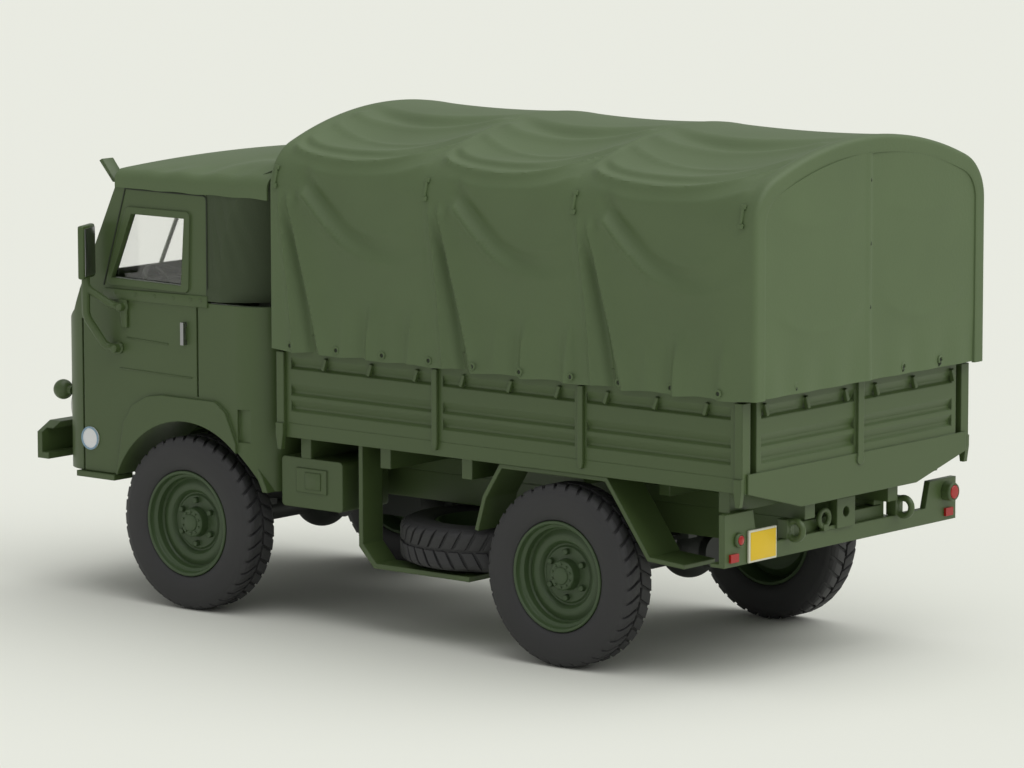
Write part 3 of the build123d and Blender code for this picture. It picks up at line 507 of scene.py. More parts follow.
    def side_swags(self, behind, girth):
        """The long swag from the strap down over the side, and a faint one under it."""
        above = girth - through(self.side_swag, behind)
        fade = ease(behind, 3.4, 5.4) * (1 - 0.85 * ease(behind, 11, 24))
        folds = fade * (1.25 * crest(above, 1.0, 1.4) - 0.8 * hollow(above - 2.2, 1.4))
        inner = above - 3.4 - 0.12 * (behind - 16)
        return folds + 0.35 * crest(inner, 1.0, 1.3) * ease(behind, 8, 14) * (1 - ease(behind, 22, 27))

    @staticmethod
    def hem_folds(behind, girth, strength):
        """Short folds that rise from the hem."""
        folds = crest(behind - 17.0 - 0.06 * girth, 1.0, 0.5) - 0.5 * hollow(behind - 15.6, 0.8)
        second = crest(behind - 24.3 - 0.1 * girth, 0.9, 0.6) - 0.4 * hollow(behind - 23.0, 0.7)
        folds += 0.7 * strength * second
        folds += 0.35 * crest(behind - 12.2, 0.9, 0.9)
        return folds * (1 - ease(girth, 4.5, 9.0))

    def point(self, x, girth, inset=0.0):
        """A point of the sheet in metres."""
        (y, z), (ny, nz) = self.arch(girth)
        out = self.fold(x, girth) - inset
        if girth < 1 or girth > self.girth - 1:
            z += 0.12 * math.sin(x * 0.75)
        return Vector((x, y + ny * out, z + nz * out)) * mm


def grid_sheet(name, rows, columns):
    """A grid of quads that runs through rows of points, as a new object."""
    deselect()
    bpy.ops.mesh.primitive_grid_add(x_subdivisions=columns - 1, y_subdivisions=len(rows) - 1, size=1)
    sheet = bpy.context.active_object
    sheet.name = name
    flat = [value for row in rows for point in row for value in point]
    sheet.data.vertices.foreach_set("co", flat)
    sheet.data.update()
    return sheet


def thicken(sheet, thickness):
    """Gives a sheet its thickness, on one side of its faces."""
    choose(sheet)
    wall = sheet.modifiers.new("Thickness", "SOLIDIFY")
    wall.thickness = thickness
    wall.offset = -1.0
    bpy.ops.object.modifier_apply(modifier=wall.name)


class TRUCK_OT_tarpaulin(Operator):
    """Hangs the folded sheet over the hoops"""
    bl_idname = "truck.tarpaulin"
    bl_label = "Tarpaulin"

    end_radius = 0.7         # rounding of the sheet's two ends
    pleat_zone = 9.3         # behind each hoop, where the rows lie close together
    close_rows = 0.27
    wide_rows = 0.55

    def execute(self, context):
        cover = context.scene.truck_cover
        shape = CoverShape(cover)
        girths = self.across(shape)
        rows = [[shape.point(x, girth, inset) for girth in girths]
                for x, inset in self.along(shape, cover.border / mm)]
        sheet = grid_sheet("tarpaulin", rows, len(girths))
        thicken(sheet, -cover.thickness)
        finish_piece(sheet, "tarpaulin", "Canvas", smooth=50)
        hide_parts("cargo_cover")
        return {"FINISHED"}

    def along(self, shape, border):
        """Places of the rows from front to rear, each with its inset."""
        x, last = shape.front - self.end_radius, shape.rear + self.end_radius
        rows = self.end_rows(shape.front, 1, border)
        while x > last + 0.3:
            rows.append((x, 0.0))
            behind = min([hoop - x for hoop in shape.hoops if hoop > x - 1] or [10])
            x -= self.close_rows if behind < self.pleat_zone else self.wide_rows
        rows.append((last, 0.0))
        return rows + self.end_rows(shape.rear, -1, border)[::-1]

    def end_rows(self, end, toward, border):
        """Rows that turn in at one end and form the border round the curtain."""
        rows = [(end - toward * 0.45, border + 0.1), (end - toward * 0.05, border),
                (end, border - 0.15), (end, border * 0.75), (end, border * 0.5)]
        for step in range(5):
            turn = math.pi / 2 * (1 - step / 5)
            rows.append((end - toward * self.end_radius * (1 - math.sin(turn)),
                         self.end_radius * (1 - math.cos(turn))))
        return rows

    @staticmethod
    def across(shape):
        """Girths of the columns: close together on the folded sides, wider apart over the crown."""
        middle, far_side = shape.girth / 2, shape.girth - 34
        girths, at = [], 0.0
        while at < shape.girth:
            girths.append(at)
            at += 0.38 if at < 34 else 0.62 if at < middle else 0.75 if at < far_side else 0.6
        return girths + [shape.girth]


class TRUCK_OT_end_curtains(Operator):
    """Closes the cover at the tail, where two halves overlap and are laced, and at the front"""
    bl_idname = "truck.end_curtains"
    bl_label = "End curtains"

    columns, rows = 120, 80
    set_back = 0.42          # behind the border's face

    def execute(self, context):
        cover = context.scene.truck_cover
        shape = CoverShape(cover)
        inset = cover.border / mm - 0.1
        half = shape.half - inset
        low = shape.hem + 0.3
        across = [half * (1 - 2 * column / self.columns) for column in range(self.columns + 1)]
        tops = [self.arch_height(shape, abs(y), inset) for y in across]
        for name, end, toward in (("rear_curtain", shape.rear, -1), ("front_curtain", shape.front, 1)):
            rows = []
            for row in range(self.rows + 1):
                line = []
                for y, top in zip(across, tops):
                    z = low + (top - low) * row / self.rows
                    # only the curtain at the tail is folded
                    out = self.fold(y, z, shape) if toward < 0 else 0.0
                    line.append(Vector((end - toward * (self.set_back - out), y, z)) * mm)
                rows.append(line)
            sheet = grid_sheet(name, rows, len(across))
            thicken(sheet, toward * 0.3 * mm)
            finish_piece(sheet, name, "Canvas", smooth=50)
            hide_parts("cargo_cover")
        return {"FINISHED"}

    @staticmethod
    def arch_height(shape, y, inset):
        """Height of the arch, drawn in by the inset, at a distance from the middle."""
        low, high = shape.side, shape.girth / 2
        for _ in range(24):
            girth = (low + high) / 2
            (at, z), (ny, nz) = shape.arch(girth)
            if at - ny * inset > y:
                low = girth
            else:
                high = girth
        (at, z), (ny, nz) = shape.arch((low + high) / 2)
        return z - nz * inset

    @staticmethod
    def fold(y, z, shape):
        """How far the rear curtain stands out at a place of its face."""
        lap = 0.16 * ease(y, 0.25, 0.6) + 0.1 * hollow(y - 0.9, 0.5)
        middle = 11.5 if y > 0 else -11.5
        side = (y - middle) / 11.0
        smile = z - (46.5 + 4.0 * side * side)
        folds = 0.2 * crest(smile, 1.6, 1.0) * (1 - ease(abs(side), 0.5, 1.0))
        smile = z - (60.5 + 3.0 * side * side)
        folds += 0.14 * crest(smile, 1.6, 1.0) * (1 - ease(abs(side), 0.4, 1.0))
        hang = 0.12 * math.sin(y * 0.9 + 0.6) * (1 - ease(z, shape.hem, shape.hem + 9))
        billow = 0.18 * math.cos(side * math.pi / 2) * ease(z, shape.hem, shape.hem + 12)
        return lap + folds + hang + billow - 0.1


# Fittings of the cover

class TRUCK_OT_cover_fittings(Operator):
    """Adds the straps at the hoops, the eyelets of the hem and the lacing at the tail"""
    bl_idname = "truck.cover_fittings"
    bl_label = "Cover fittings"

    strap_girth = 24.0        # up from the hem
    last_strap = 2.3          # ahead of the sheet's rear edge
    eyelet_height = 0.95      # above the hem
    eyelet_pitch = 8.27
    eyelet_count = 10
    first_eyelet = 2.9        # behind the first hoop
    lace_heights = (65.4, 57.0, 48.6, 40.6)
    tail_eyelets = (16.6, 7.9, -7.1, -15.6)
    cord_radius = 0.13

    def execute(self, context):
        shape = CoverShape(context.scene.truck_cover)
        self.straps(shape)
        self.eyelets(shape)
        self.lacing(shape)
        return {"FINISHED"}

    def straps(self, shape):
        """A strap with a pad at each end, at every hoop."""
        strap = joined([
            panel("strap", (-0.22, 0.22), 0, (-1.0, 1.0), 0.32, 0.09),
            panel("pad", (-0.42, 0.42), 0, (0.95, 1.6), 0.26, 0.08),
            panel("pad", (-0.42, 0.42), 0, (-1.6, -0.95), 0.26, 0.08),
        ])
        _, (ny, nz) = shape.arch(self.strap_girth)
        straps = []
        for x in shape.hoops[:-1] + [shape.rear + self.last_strap]:
            place = shape.point(x, self.strap_girth, 0.05)
            straps.append(copied(strap, place, (math.atan2(nz, ny), 0, 0)))
            settle(straps[-1])
        removed(strap)
        self.done(both_sides(joined(straps)), "cover_straps", "Canvas")

    def eyelets(self, shape):
        """Small rings along both hems and across the tail; those of the hems hold dark discs, painted shade in
        their holes.
        """
        ring = turned("eyelet", [(0.28, 0.0), (0.3, -0.14), (0.42, -0.2), (0.54, -0.12), (0.56, 0.0),
                                 (0.28, 0.0)], 18)
        eye = turned("eye", [(0.0, 0.02), (0.33, 0.02), (0.33, -0.03), (0.0, -0.04)], 14)
        first = shape.hoops[0] - self.first_eyelet
        places = [shape.point(first - self.eyelet_pitch * i, self.eyelet_height, -0.02)
                  for i in range(self.eyelet_count)]
        tail = [Vector((shape.rear + 0.2, y, shape.hem + 1.35)) * mm for y in self.tail_eyelets]
        self.done(both_sides(self.set_out(ring, places)), "hem_eyelets", "Canvas")
        # dark discs in the eyelets' holes: painted shade
        self.done(both_sides(self.set_out(eye, places)), "hem_eyes", "Dark cord and painted shade")
        self.done(self.set_out(ring, tail, math.pi / 2), "tail_eyelets", "Canvas")
        removed(ring)
        removed(eye)

    def lacing(self, shape):
        """A short slanting cord through each pair of holes, and one through each tail eyelet."""
        rear, hem = shape.rear, shape.hem
        cords = [((rear + 0.3, 0.75, z - 0.65), (rear + 0.02, 0.65, z), (rear + 0.3, 0.45, z + 0.65))
                 for z in self.lace_heights]
        cords += [((rear + 0.35, y + 0.18, hem + 0.5), (rear + 0.05, y + 0.1, hem + 0.9),
                   (rear + 0.35, y - 0.15, hem + 1.6)) for y in self.tail_eyelets + (0.5,)]
        stitches = [tube("lace", cord, self.cord_radius) for cord in cords]
        self.done(joined(stitches), "tail_lacing", "Dark cord and painted shade")

    @staticmethod
    def set_out(pattern, places, turn=0.0):
        """Copies of a pattern at all places, as one piece."""
        copies = [copied(pattern, place, (0, 0, turn)) for place in places]
        for piece in copies:
            settle(piece)
        return joined(copies)

    @staticmethod
    def done(piece, name, material):
        """Finishes one fitting of the cover."""
        finish_piece(piece, name, material)


# Cab

class TruckCab(PropertyGroup):
    canvas_front: FloatProperty(
        name="Canvas front", description="Front edge of the canvas roof", subtype="DISTANCE",
        default=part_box("cab_canvas")[1].x)
    canvas_rear: FloatProperty(
        name="Canvas rear", description="Rear wall of the cab's canvas", subtype="DISTANCE",
        default=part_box("cab_canvas")[0].x)
    half_width: FloatProperty(
        name="Half width", description="Middle of the model to the cab's side", subtype="DISTANCE",
        default=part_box("cab_canvas")[1].y)
    hem_height: FloatProperty(
        name="Hem height", description="Lower edge of the canvas quarters", subtype="DISTANCE",
        default=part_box("cab_canvas")[0].z)
    door_rear: FloatProperty(
        name="Door rear", description="Where the canvas quarters meet the doors", subtype="DISTANCE",
        default=31.0 * mm)
    door_top: FloatProperty(
        name="Door top", description="Lower edge of the roof over the doors", subtype="DISTANCE",
        default=59.1 * mm)
    edge_radius: FloatProperty(
        name="Edge radius", description="Rounding between the roof and the sides", subtype="DISTANCE",
        default=1.7 * mm)
    thickness: FloatProperty(
        name="Thickness", description="Thickness of the canvas", subtype="DISTANCE", default=0.35 * mm)


class CabShape:
    """The canvas of the cab. Lengths are in millimetres."""

    # height: how far the rounded rear corner reaches forward
    corner = ((44.0, 9.4), (46.0, 9.2), (53.0, 8.4), (58.0, 6.3), (61.7, 3.6))
    lap = 0.24          # how far the roof's edge stands proud of the sides

    def __init__(self, cab):
        self.front = cab.canvas_front / mm
        self.rear = cab.canvas_rear / mm
        self.half = cab.half_width / mm
        self.hem = cab.hem_height / mm
        self.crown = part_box("cab_canvas")[1].z / mm
        self.door_rear = cab.door_rear / mm
        self.door_top = cab.door_top / mm
        self.radius = cab.edge_radius / mm

    def section(self, x):
        """Roof line across the cab from the left edge to the right one, as (y, z)."""
        back = (self.front - x) / (self.front - self.rear)
        edge = 61.7 + 0.6 * back
        crown = self.crown - 3.2 * (1 - back)
        flat = self.half + self.lap - self.radius
        spring = edge - self.radius
        line = [(flat + self.radius, self.door_top + (spring - self.door_top) * i / 4) for i in range(4)]
        for i in range(7):
            turn = math.radians(76 * i / 6)
            line.append((flat + self.radius * math.cos(turn), spring + self.radius * math.sin(turn)))
        for i in range(1, 27):
            y = flat * (1 - i / 26)
            line.append((y, edge + (crown - edge) * (1 - (y / flat) ** 2)))
        # the canvas puffs up near the rear corners, and its edge is slightly pleated
        puff = 0.75 * ease(back, 0.55, 0.8)
        pleat = 0.16 * math.sin(x * 0.9) * ease(back, 0.1, 0.3)
        line = [(y, z + puff * (hollow(y - 20.5, 3.2) - 0.5 * hollow(y - 13.5, 2.6))
                 + pleat * hollow(y - 23, 2.5)) for y, z in line]
        return line + [(-y, z) for y, z in reversed(line[:-1])]

    def roof_height(self, x, y):
        """Height of the roof over a place."""
        line = self.section(x)
        for (y0, z0), (y1, z1) in zip(line, line[1:]):
            if y0 >= abs(y) > y1:
                return z0 + (z1 - z0) * (y0 - abs(y)) / (y0 - y1)
        return line[3][1]

    def plan(self, z, share):
        """(x, y) on the quarters' outline: share 0 at the left door, 1 at the right one, round the back."""
        if share > 0.5:
            x, y = self.plan(z, 1 - share)
            return x, -y
        reach = through(self.corner, min(61.7, max(44.0, z)))
        share = share * 2
        if share < 0.3:
            return self.door_rear + (self.rear + reach - self.door_rear) * share / 0.3, self.half - 0.02
        if share < 0.75:
            turn = math.pi / 2 * (share - 0.3) / 0.45
            bulge = 2 / 1.25
            return (self.rear + reach * (1 - math.sin(turn) ** bulge),
                    self.half - reach * (1 - math.cos(turn) ** bulge))
        return self.rear, (self.half - reach) * (1 - (share - 0.75) / 0.25)


class TRUCK_OT_cab_canvas(Operator):
    """Stretches the canvas roof and its rear quarters over the cab"""
    bl_idname = "truck.cab_canvas"
    bl_label = "Cab canvas"

    def execute(self, context):
        cab = context.scene.truck_cab
        shape = CabShape(cab)
        stations = [shape.front - 0.05 - (shape.front - shape.rear - 0.1) * i / 60 for i in range(61)]
        rows = [[Vector((x, y, z)) * mm for y, z in shape.section(x)] for x in stations]
        roof = grid_sheet("cab_roof", rows, len(rows[0]))
        thicken(roof, -cab.thickness)
        self.done(roof, "cab_roof", "Canvas")
        rows = []
        levels = 44
        for level in range(levels + 1):
            rise = level / levels
            points = []
            for column in range(161):
                share = column / 160
                x, y = shape.plan(shape.hem + rise * (shape.door_top - shape.hem), share)
                top = min(shape.roof_height(x, y) - 0.3, shape.crown)
                z = shape.hem + (top - shape.hem) * rise
                x, y = shape.plan(z, share)
                above = z - shape.hem
                welt = 0.14 * (1 - ease(above, 1.3, 1.5)) - 0.12 * hollow(above - 1.55, 0.16)
                along = shape.door_rear - x
                pull = 0.22 * math.sin(1.6 * along + 0.35 * above) * ease(along, 0.3, 1.5)
                pull *= (1 - ease(along, 4, 8)) * ease(above, 2, 6) * (1 - ease(above, 12, 16))
                out = welt + pull
                points.append(Vector((x, y + math.copysign(out, y) * (1 if abs(y) > 10 else 0), z)) * mm)
            rows.append(points)
        quarters = grid_sheet("cab_quarters", rows, 161)
        thicken(quarters, cab.thickness)
        # the quarters' darker canvas is painted shade from the cargo cover
        self.done(quarters, "cab_quarters", "Cab canvas")
        return {"FINISHED"}

    @staticmethod
    def done(sheet, name, material):
        finish_piece(sheet, name, material, smooth=50)
        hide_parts("cab_canvas")


class TRUCK_OT_cab_fittings(Operator):
    """Adds the trim of the doors, the lip over the screen, the disc's ring, a panel and the mirrors"""
    bl_idname = "truck.cab_fittings"
    bl_label = "Cab fittings"

    rivets = ((48.6, 44.05), (44.5, 44.1), (40.9, 44.15), (37.3, 44.2), (33.9, 44.25), (32.0, 44.3))
    # dark lines round the door's window frame, painted shade of its engraved joints, as (x, z)
    seams = (((46.6, 59.0), (31.6, 58.95), (31.15, 58.75), (31.0, 58.3), (31.0, 45.0)),
             ((46.6, 59.0), (51.0, 45.0)))
    # swage lines: front x, height there, rear x, height there
    swages = ((46.7, 37.8, 38.6, 37.5), (48.0, 33.3, 34.1, 33.1))
    mirror_turn = math.radians(22)

    def execute(self, context):
        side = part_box("cab_canvas")[1].y / mm
        self.door_trim(side)
        self.visor(CabShape(context.scene.truck_cab))
        self.disc_ring()
        self.toolbox_panel()
        for name, sign in (("left", 1), ("right", -1)):
            self.mirror(name, sign, side)
        return {"FINISHED"}

    def door_trim(self, side):
        """The riveted sill, the swage lines and the seams of both doors."""
        parts = [prism("sill", [(30.9, side - 0.1, 43.2), (51.1, side - 0.1, 43.1),
                                (50.8, side - 0.1, 44.6), (30.9, side - 0.1, 44.9)], (0, 0.36, 0), 0.1)]
        rivet = turned("rivet", [(0.0, 0.1), (0.24, 0.1), (0.24, -0.04), (0.16, -0.12), (0.0, -0.15)], 10)
        for x, z in self.rivets:
            parts.append(copied(rivet, Vector((x, side + 0.24, z)) * mm))
            settle(parts[-1])
        removed(rivet)
        for x0, z0, x1, z1 in self.swages:
            outline = [(x0, side - 0.05, z0 - 0.1), (x0, side - 0.05, z0 + 0.1),
                       (x1, side - 0.05, z1 + 0.1), (x1, side - 0.05, z1 - 0.1)]
            parts.append(prism("swage", outline, (0, 0.15, 0), 0.04))
        finish_piece(both_sides(joined(parts)), "door_trim", "Body paint")
        # thin dark tubes along the joints: painted shade of the engraved lines
        seams = [tube("seam", [(x, side + 0.02, z) for x, z in line], 0.12) for line in self.seams]
        finish_piece(both_sides(joined(seams)), "door_seams", "Dark cord and painted shade")

    @staticmethod
    def visor(shape):
        """The low lip over the screen, its upturned ends, and the board that closes the roof's front."""
        low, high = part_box("header_visor")
        x, z, top, width = low.x / mm, low.z / mm, high.z / mm, high.y / mm
        lip = prism("lip", [(x, -width, z), (x + 0.7, -width, z),
                            (x + 1.5, -width, z + 0.95), (x + 1.1, -width, z + 1.2)], (0, 2 * width, 0), 0.08)
        inner = width - 2.3
        fin = prism("fin", [(x, inner, z), (x + 0.7, inner, z),
                            (x + 3.3, inner, top - 0.3), (x + 2.7, inner, top)], (0, 2.3, 0), 0.1)
        arch = [(y, height - 0.3) for y, height in shape.section(shape.front) if abs(y) < shape.half - 0.6]
        arch = [(arch[0][0], z)] + arch + [(arch[-1][0], z)]
        board = prism("board", [(shape.front - 0.85, y, height) for y, height in arch], (0.7, 0, 0))
        visor = joined([lip, board, both_sides(fin)])
        finish_piece(visor, "visor_lip", "Body paint")
        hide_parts("header_visor")

    @staticmethod
    def disc_ring():
        """The thin ring round the blank disc."""
        low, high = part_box("sign_disc")
        centre = (low + high) / 2
        radius = (high.z - low.z) / 2 / mm
        ring = turned("disc_ring", [(radius - 0.22, 0.0), (radius - 0.22, -0.1), (radius + 0.02, -0.1),
                                    (radius + 0.02, 0.0), (radius - 0.22, 0.0)], 40)
        ring.location = (centre.x, high.y, centre.z)
        finish_piece(ring, "disc_ring", "Disc ring")

    @staticmethod
    def toolbox_panel():
        """The smaller of the two raised panels on the tool box."""
        low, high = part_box("toolbox")
        middle, face = (low.x + high.x) / 2 / mm, high.y / mm
        piece = panel("panel", (middle - 1.75, middle + 1.15), face - 0.05, (19.1, 21.5), 0.17, 0.05)
        finish_piece(piece, "toolbox_panel", "Body paint")

    def mirror(self, name, sign, side):
        """A mirror on its bent tubes, and its glass."""
        rod_x, rod_y = 51.6, side + 3.1
        head_low, head_high = 46.2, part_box("mirror_left")[1].z / mm
        head_tall = head_high - head_low
        lower = tube("lower_arm", [(rod_x, rod_y, head_high - 1.0), (rod_x, rod_y, 41.2),
                                   (rod_x - 0.2, rod_y - 0.2, 40.3), (49.9, side + 1.3, 36.8),
                                   (49.4, side + 0.9, 36.35), (48.0, side + 0.8, 36.2)], 0.6)
        upper = tube("upper_arm", [(rod_x, rod_y, 45.2), (rod_x - 0.5, rod_y - 0.4, 44.4),
                                   (48.9, side + 1.2, 42.6), (48.2, side + 0.85, 42.3),
                                   (46.9, side + 0.8, 42.2)], 0.55)
        parts = [lower, upper]
        for x, z in ((48.1, 36.2), (47.0, 42.2)):
            pin = turned("pin", [(0.0, 0.0), (0.85, 0.0), (0.85, -0.25), (0.6, -0.35),
                                 (0.6, -1.3), (0.45, -1.45), (0.0, -1.45)], 16)
            pin.location = Vector((x, side, z)) * mm
            settle(pin)
            parts.append(pin)
        parts.append(prism("bracket", [(46.3, side, 39.2), (47.3, side, 39.2),
                                       (47.9, side, 43.2), (46.3, side, 43.2)], (0, 0.4, 0), 0.1))
        head = prism("head", [(-0.5, -2.2, 0), (0.5, -2.2, 0), (0.5, 2.2, 0), (-0.5, 2.2, 0)],
                     (0, 0, head_tall), 0.3)
        head.location = Vector((rod_x - 0.3, rod_y + 0.1, head_low)) * mm
        head.rotation_euler = (0, 0, self.mirror_turn)
        settle(head)
        knob = turned("knob", [(0.0, 0.0), (0.9, 0.0), (0.9, -0.4), (0.6, -0.7), (0.0, -0.75)], 16)
        knob.rotation_euler = (0, 0, self.mirror_turn - math.pi / 2)
        knob.location = Vector((rod_x + 0.1, rod_y, (head_low + head_high) / 2 + 0.8)) * mm
        settle(knob)
        arm = joined(parts + [head, knob])
        if sign < 0:
            mirrored(arm)
        finish_piece(arm, "mirror_arm_" + name, "Body paint")
        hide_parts("mirror_" + name)

        # the glass lies 0.5 mm behind the middle of the head
        glass = prism("glass", [(0, -1.85, 0.4), (0, 1.85, 0.4), (0, 1.85, head_tall - 0.4),
                                (0, -1.85, head_tall - 0.4)], (-0.12, 0, 0), 0.04)
        lean = sign * self.mirror_turn
        glass.location = Vector((rod_x - 0.3 - 0.5 * math.cos(lean),
                                 sign * (rod_y + 0.1) - 0.5 * math.sin(lean), head_low)) * mm
        glass.rotation_euler = (0, 0, lean)
        finish_piece(glass, "mirror_glass_" + name, "Pin steel")


# Tail

class TRUCK_OT_tail_fittings(Operator):
    """Adds the tail lamps and the blank plate with its rim"""
    bl_idname = "truck.tail_fittings"
    bl_label = "Tail fittings"

    # side, how far the lamp stands out, its radius, its place across, its height
    lamps = ((1, 0.5, 1.0, 22.9, 20.0), (-1, 1.4, 1.3, 23.7, 20.6))
    plate_shift = 0.9       # to the left of the CAD plate
    # piece, finish, how far ahead of the face it starts, its depth, its margin, its bevel
    plates = (("plate_rim", "Plate rim", 0.0, 0.4, 0.0, 0.15),
              ("plate_field", "Plate yellow", 0.3, 0.16, 0.28, 0.05))

    def execute(self, context):
        self.tail_lamps()
        low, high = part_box("number_plate")
        for name, material, ahead, depth, margin, bevel in self.plates:
            x = high.x / mm - ahead
            y0, y1 = low.y / mm + self.plate_shift + margin, high.y / mm + self.plate_shift - margin
            z0, z1 = low.z / mm + margin, high.z / mm - margin
            piece = prism(name, [(x, y0, z0), (x, y1, z0), (x, y1, z1), (x, y0, z1)], (-depth, 0, 0), bevel)
            finish_piece(piece, name, material)
            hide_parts("number_plate")
        return {"FINISHED"}

    def tail_lamps(self):
        """A round lamp with a red lens on each ear of the beam."""
        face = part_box("tail_lamps")[1].x / mm
        bodies, lenses = [], []
        for side, depth, rim, across, height in self.lamps:
            body = turned("lamp_body", [
                (0.0, 0.0), (rim, 0.0), (rim, -(depth - 0.25)), (rim - 0.12, -(depth - 0.05)),
                (rim - 0.3, -depth), (rim - 0.36, -(depth - 0.15)), (0.0, -(depth - 0.15))], 28)
            lens = turned("lamp_lens", [
                (0.0, -(depth - 0.2)), (rim - 0.38, -(depth - 0.2)), (rim - 0.38, -depth),
                (rim - 0.5, -(depth + 0.08)), (0.0, -(depth + 0.12))], 24)
            for piece, group in ((body, bodies), (lens, lenses)):
                piece.rotation_euler = (0, 0, math.pi / 2)
                piece.location = Vector((face, side * across, height)) * mm
                settle(piece)
                group.append(piece)
        for group, name, material, slot in ((bodies, "lamp_bodies", "Body paint", "body_green"),
                                            (lenses, "lamp_lenses", "Red lens", "lamp_red")):
            piece = joined(group)
            finish_piece(piece, name, material)
            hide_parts("tail_lamps")


# Wheels

class TruckWheels(PropertyGroup):
    tyre_radius: FloatProperty(
        name="Tyre radius", description="Out to the tips of the lugs", subtype="DISTANCE",
        default=(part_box("tyre_rear_left")[1].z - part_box("tyre_rear_left")[0].z) / 2)
    tyre_width: FloatProperty(
        name="Tyre width", description="Across the side walls", subtype="DISTANCE",
        default=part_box("tyre_rear_left")[1].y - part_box("tyre_rear_left")[0].y)
    rim_radius: FloatProperty(
        name="Rim radius", description="Outer edge of the disc wheel", subtype="DISTANCE", default=7.5 * mm)
    lugs: IntProperty(name="Lugs", description="Lugs in each of the two rows", default=38, min=8)
    groove: FloatProperty(
        name="Groove", description="Gap between two lugs", subtype="DISTANCE", default=0.5 * mm)
    slant: FloatProperty(name="Slant", description="How far a lug leads towards the middle", default=0.55)
    nuts: IntProperty(name="Wheel nuts", description="Nuts round the hub", default=6)
    hub_bolts: IntProperty(name="Hub bolts", description="Small bolts in the hub's end", default=10)


def wheel_places(kind):
    """Each wheel's name with its body, the place of its centre and its turn."""
    places = []
    for name, body, turn in (
        ("front_left", "front_wheelset", (0, 0, 0)),
        ("front_right", "front_wheelset", (0, 0, math.pi)),
        ("rear_left", "rear_wheelset", (0, 0, 0)),
        ("rear_right", "rear_wheelset", (0, 0, math.pi)),
    ):
        low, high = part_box("tyre_" + name)
        places.append((kind + "_" + name, body, (low + high) / 2, turn))
    low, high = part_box("spare_tyre")
    places.append(("spare_" + kind, "root", (low + high) / 2, (-math.pi / 2, 0, 0)))
    return places


def fit_wheels(pattern, kind, prefix, material):
    """Sets a copy of a wheel piece at every wheel."""
    for name, body, centre, turn in wheel_places(kind):
        piece = copied(pattern, centre, turn)
        finish_piece(piece, prefix + name, material, body=body)
        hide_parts(name)
    removed(pattern)


class TRUCK_OT_tyres(Operator):
    """Moulds the lugged tyres of the four wheels and the spare"""
    bl_idname = "truck.tyres"
    bl_label = "Tyres"

    def execute(self, context):
        wheels = context.scene.truck_wheels
        outer = wheels.tyre_radius / mm
        half = wheels.tyre_width / 2 / mm
        bead = wheels.rim_radius / mm
        base = outer - 0.42
        # side wall from the bead to the tread: radius, distance from the face
        wall = [(bead, 1.1), (bead + 0.06, 0.55), (bead + 0.3, 0.3), (bead + 0.9, 0.1), (bead + 1.7, 0.0),
                (outer - 2.1, 0.03), (outer - 1.75, 0.13), (outer - 1.6, 0.13), (outer - 1.3, 0.2),
                (outer - 0.85, 0.38), (outer - 0.55, 0.62), (base, 1.0), (base, 1.6)]
        face = [(radius, inset - half) for radius, inset in wall]
        back = [(radius, half - inset) for radius, inset in reversed(wall)]
        tyre = turned("tyre", face + back + face[:1], 96)

        # one lug in section: distance from the face, radius
        section = [(0.36, outer - 1.1), (0.44, outer - 0.62), (0.72, outer - 0.22),
                   (1.2, outer - 0.02), (half - 0.2, outer - 0.02), (half - 0.2, base - 0.1), (1.0, outer - 1.3)]
        width = 2 * math.pi * outer / wheels.lugs - wheels.groove / mm
        outline = []
        for inset, radius in section:
            # the corners of a slanting lug stay inside the tyre's round
            ahead = wheels.slant * (inset - half / 2)
            height = math.sqrt(radius ** 2 - (abs(ahead) + width / 2) ** 2)
            outline.append((ahead - width / 2, half - inset, height))
        lug = prism("lug", outline, (width, 0, 0), soft=0.07)
        ring_of(lug, wheels.lugs)
        far_row = copied(lug, scale=(1, -1, 1), rotation=(0, math.pi / wheels.lugs, 0))
        settle(far_row)
        bpy.ops.object.mode_set(mode="EDIT")
        tidy_mesh()
        tyre = joined([tyre, lug, far_row])
        fit_wheels(tyre, "tyre", "lugged_", "Tyre rubber")
        return {"FINISHED"}


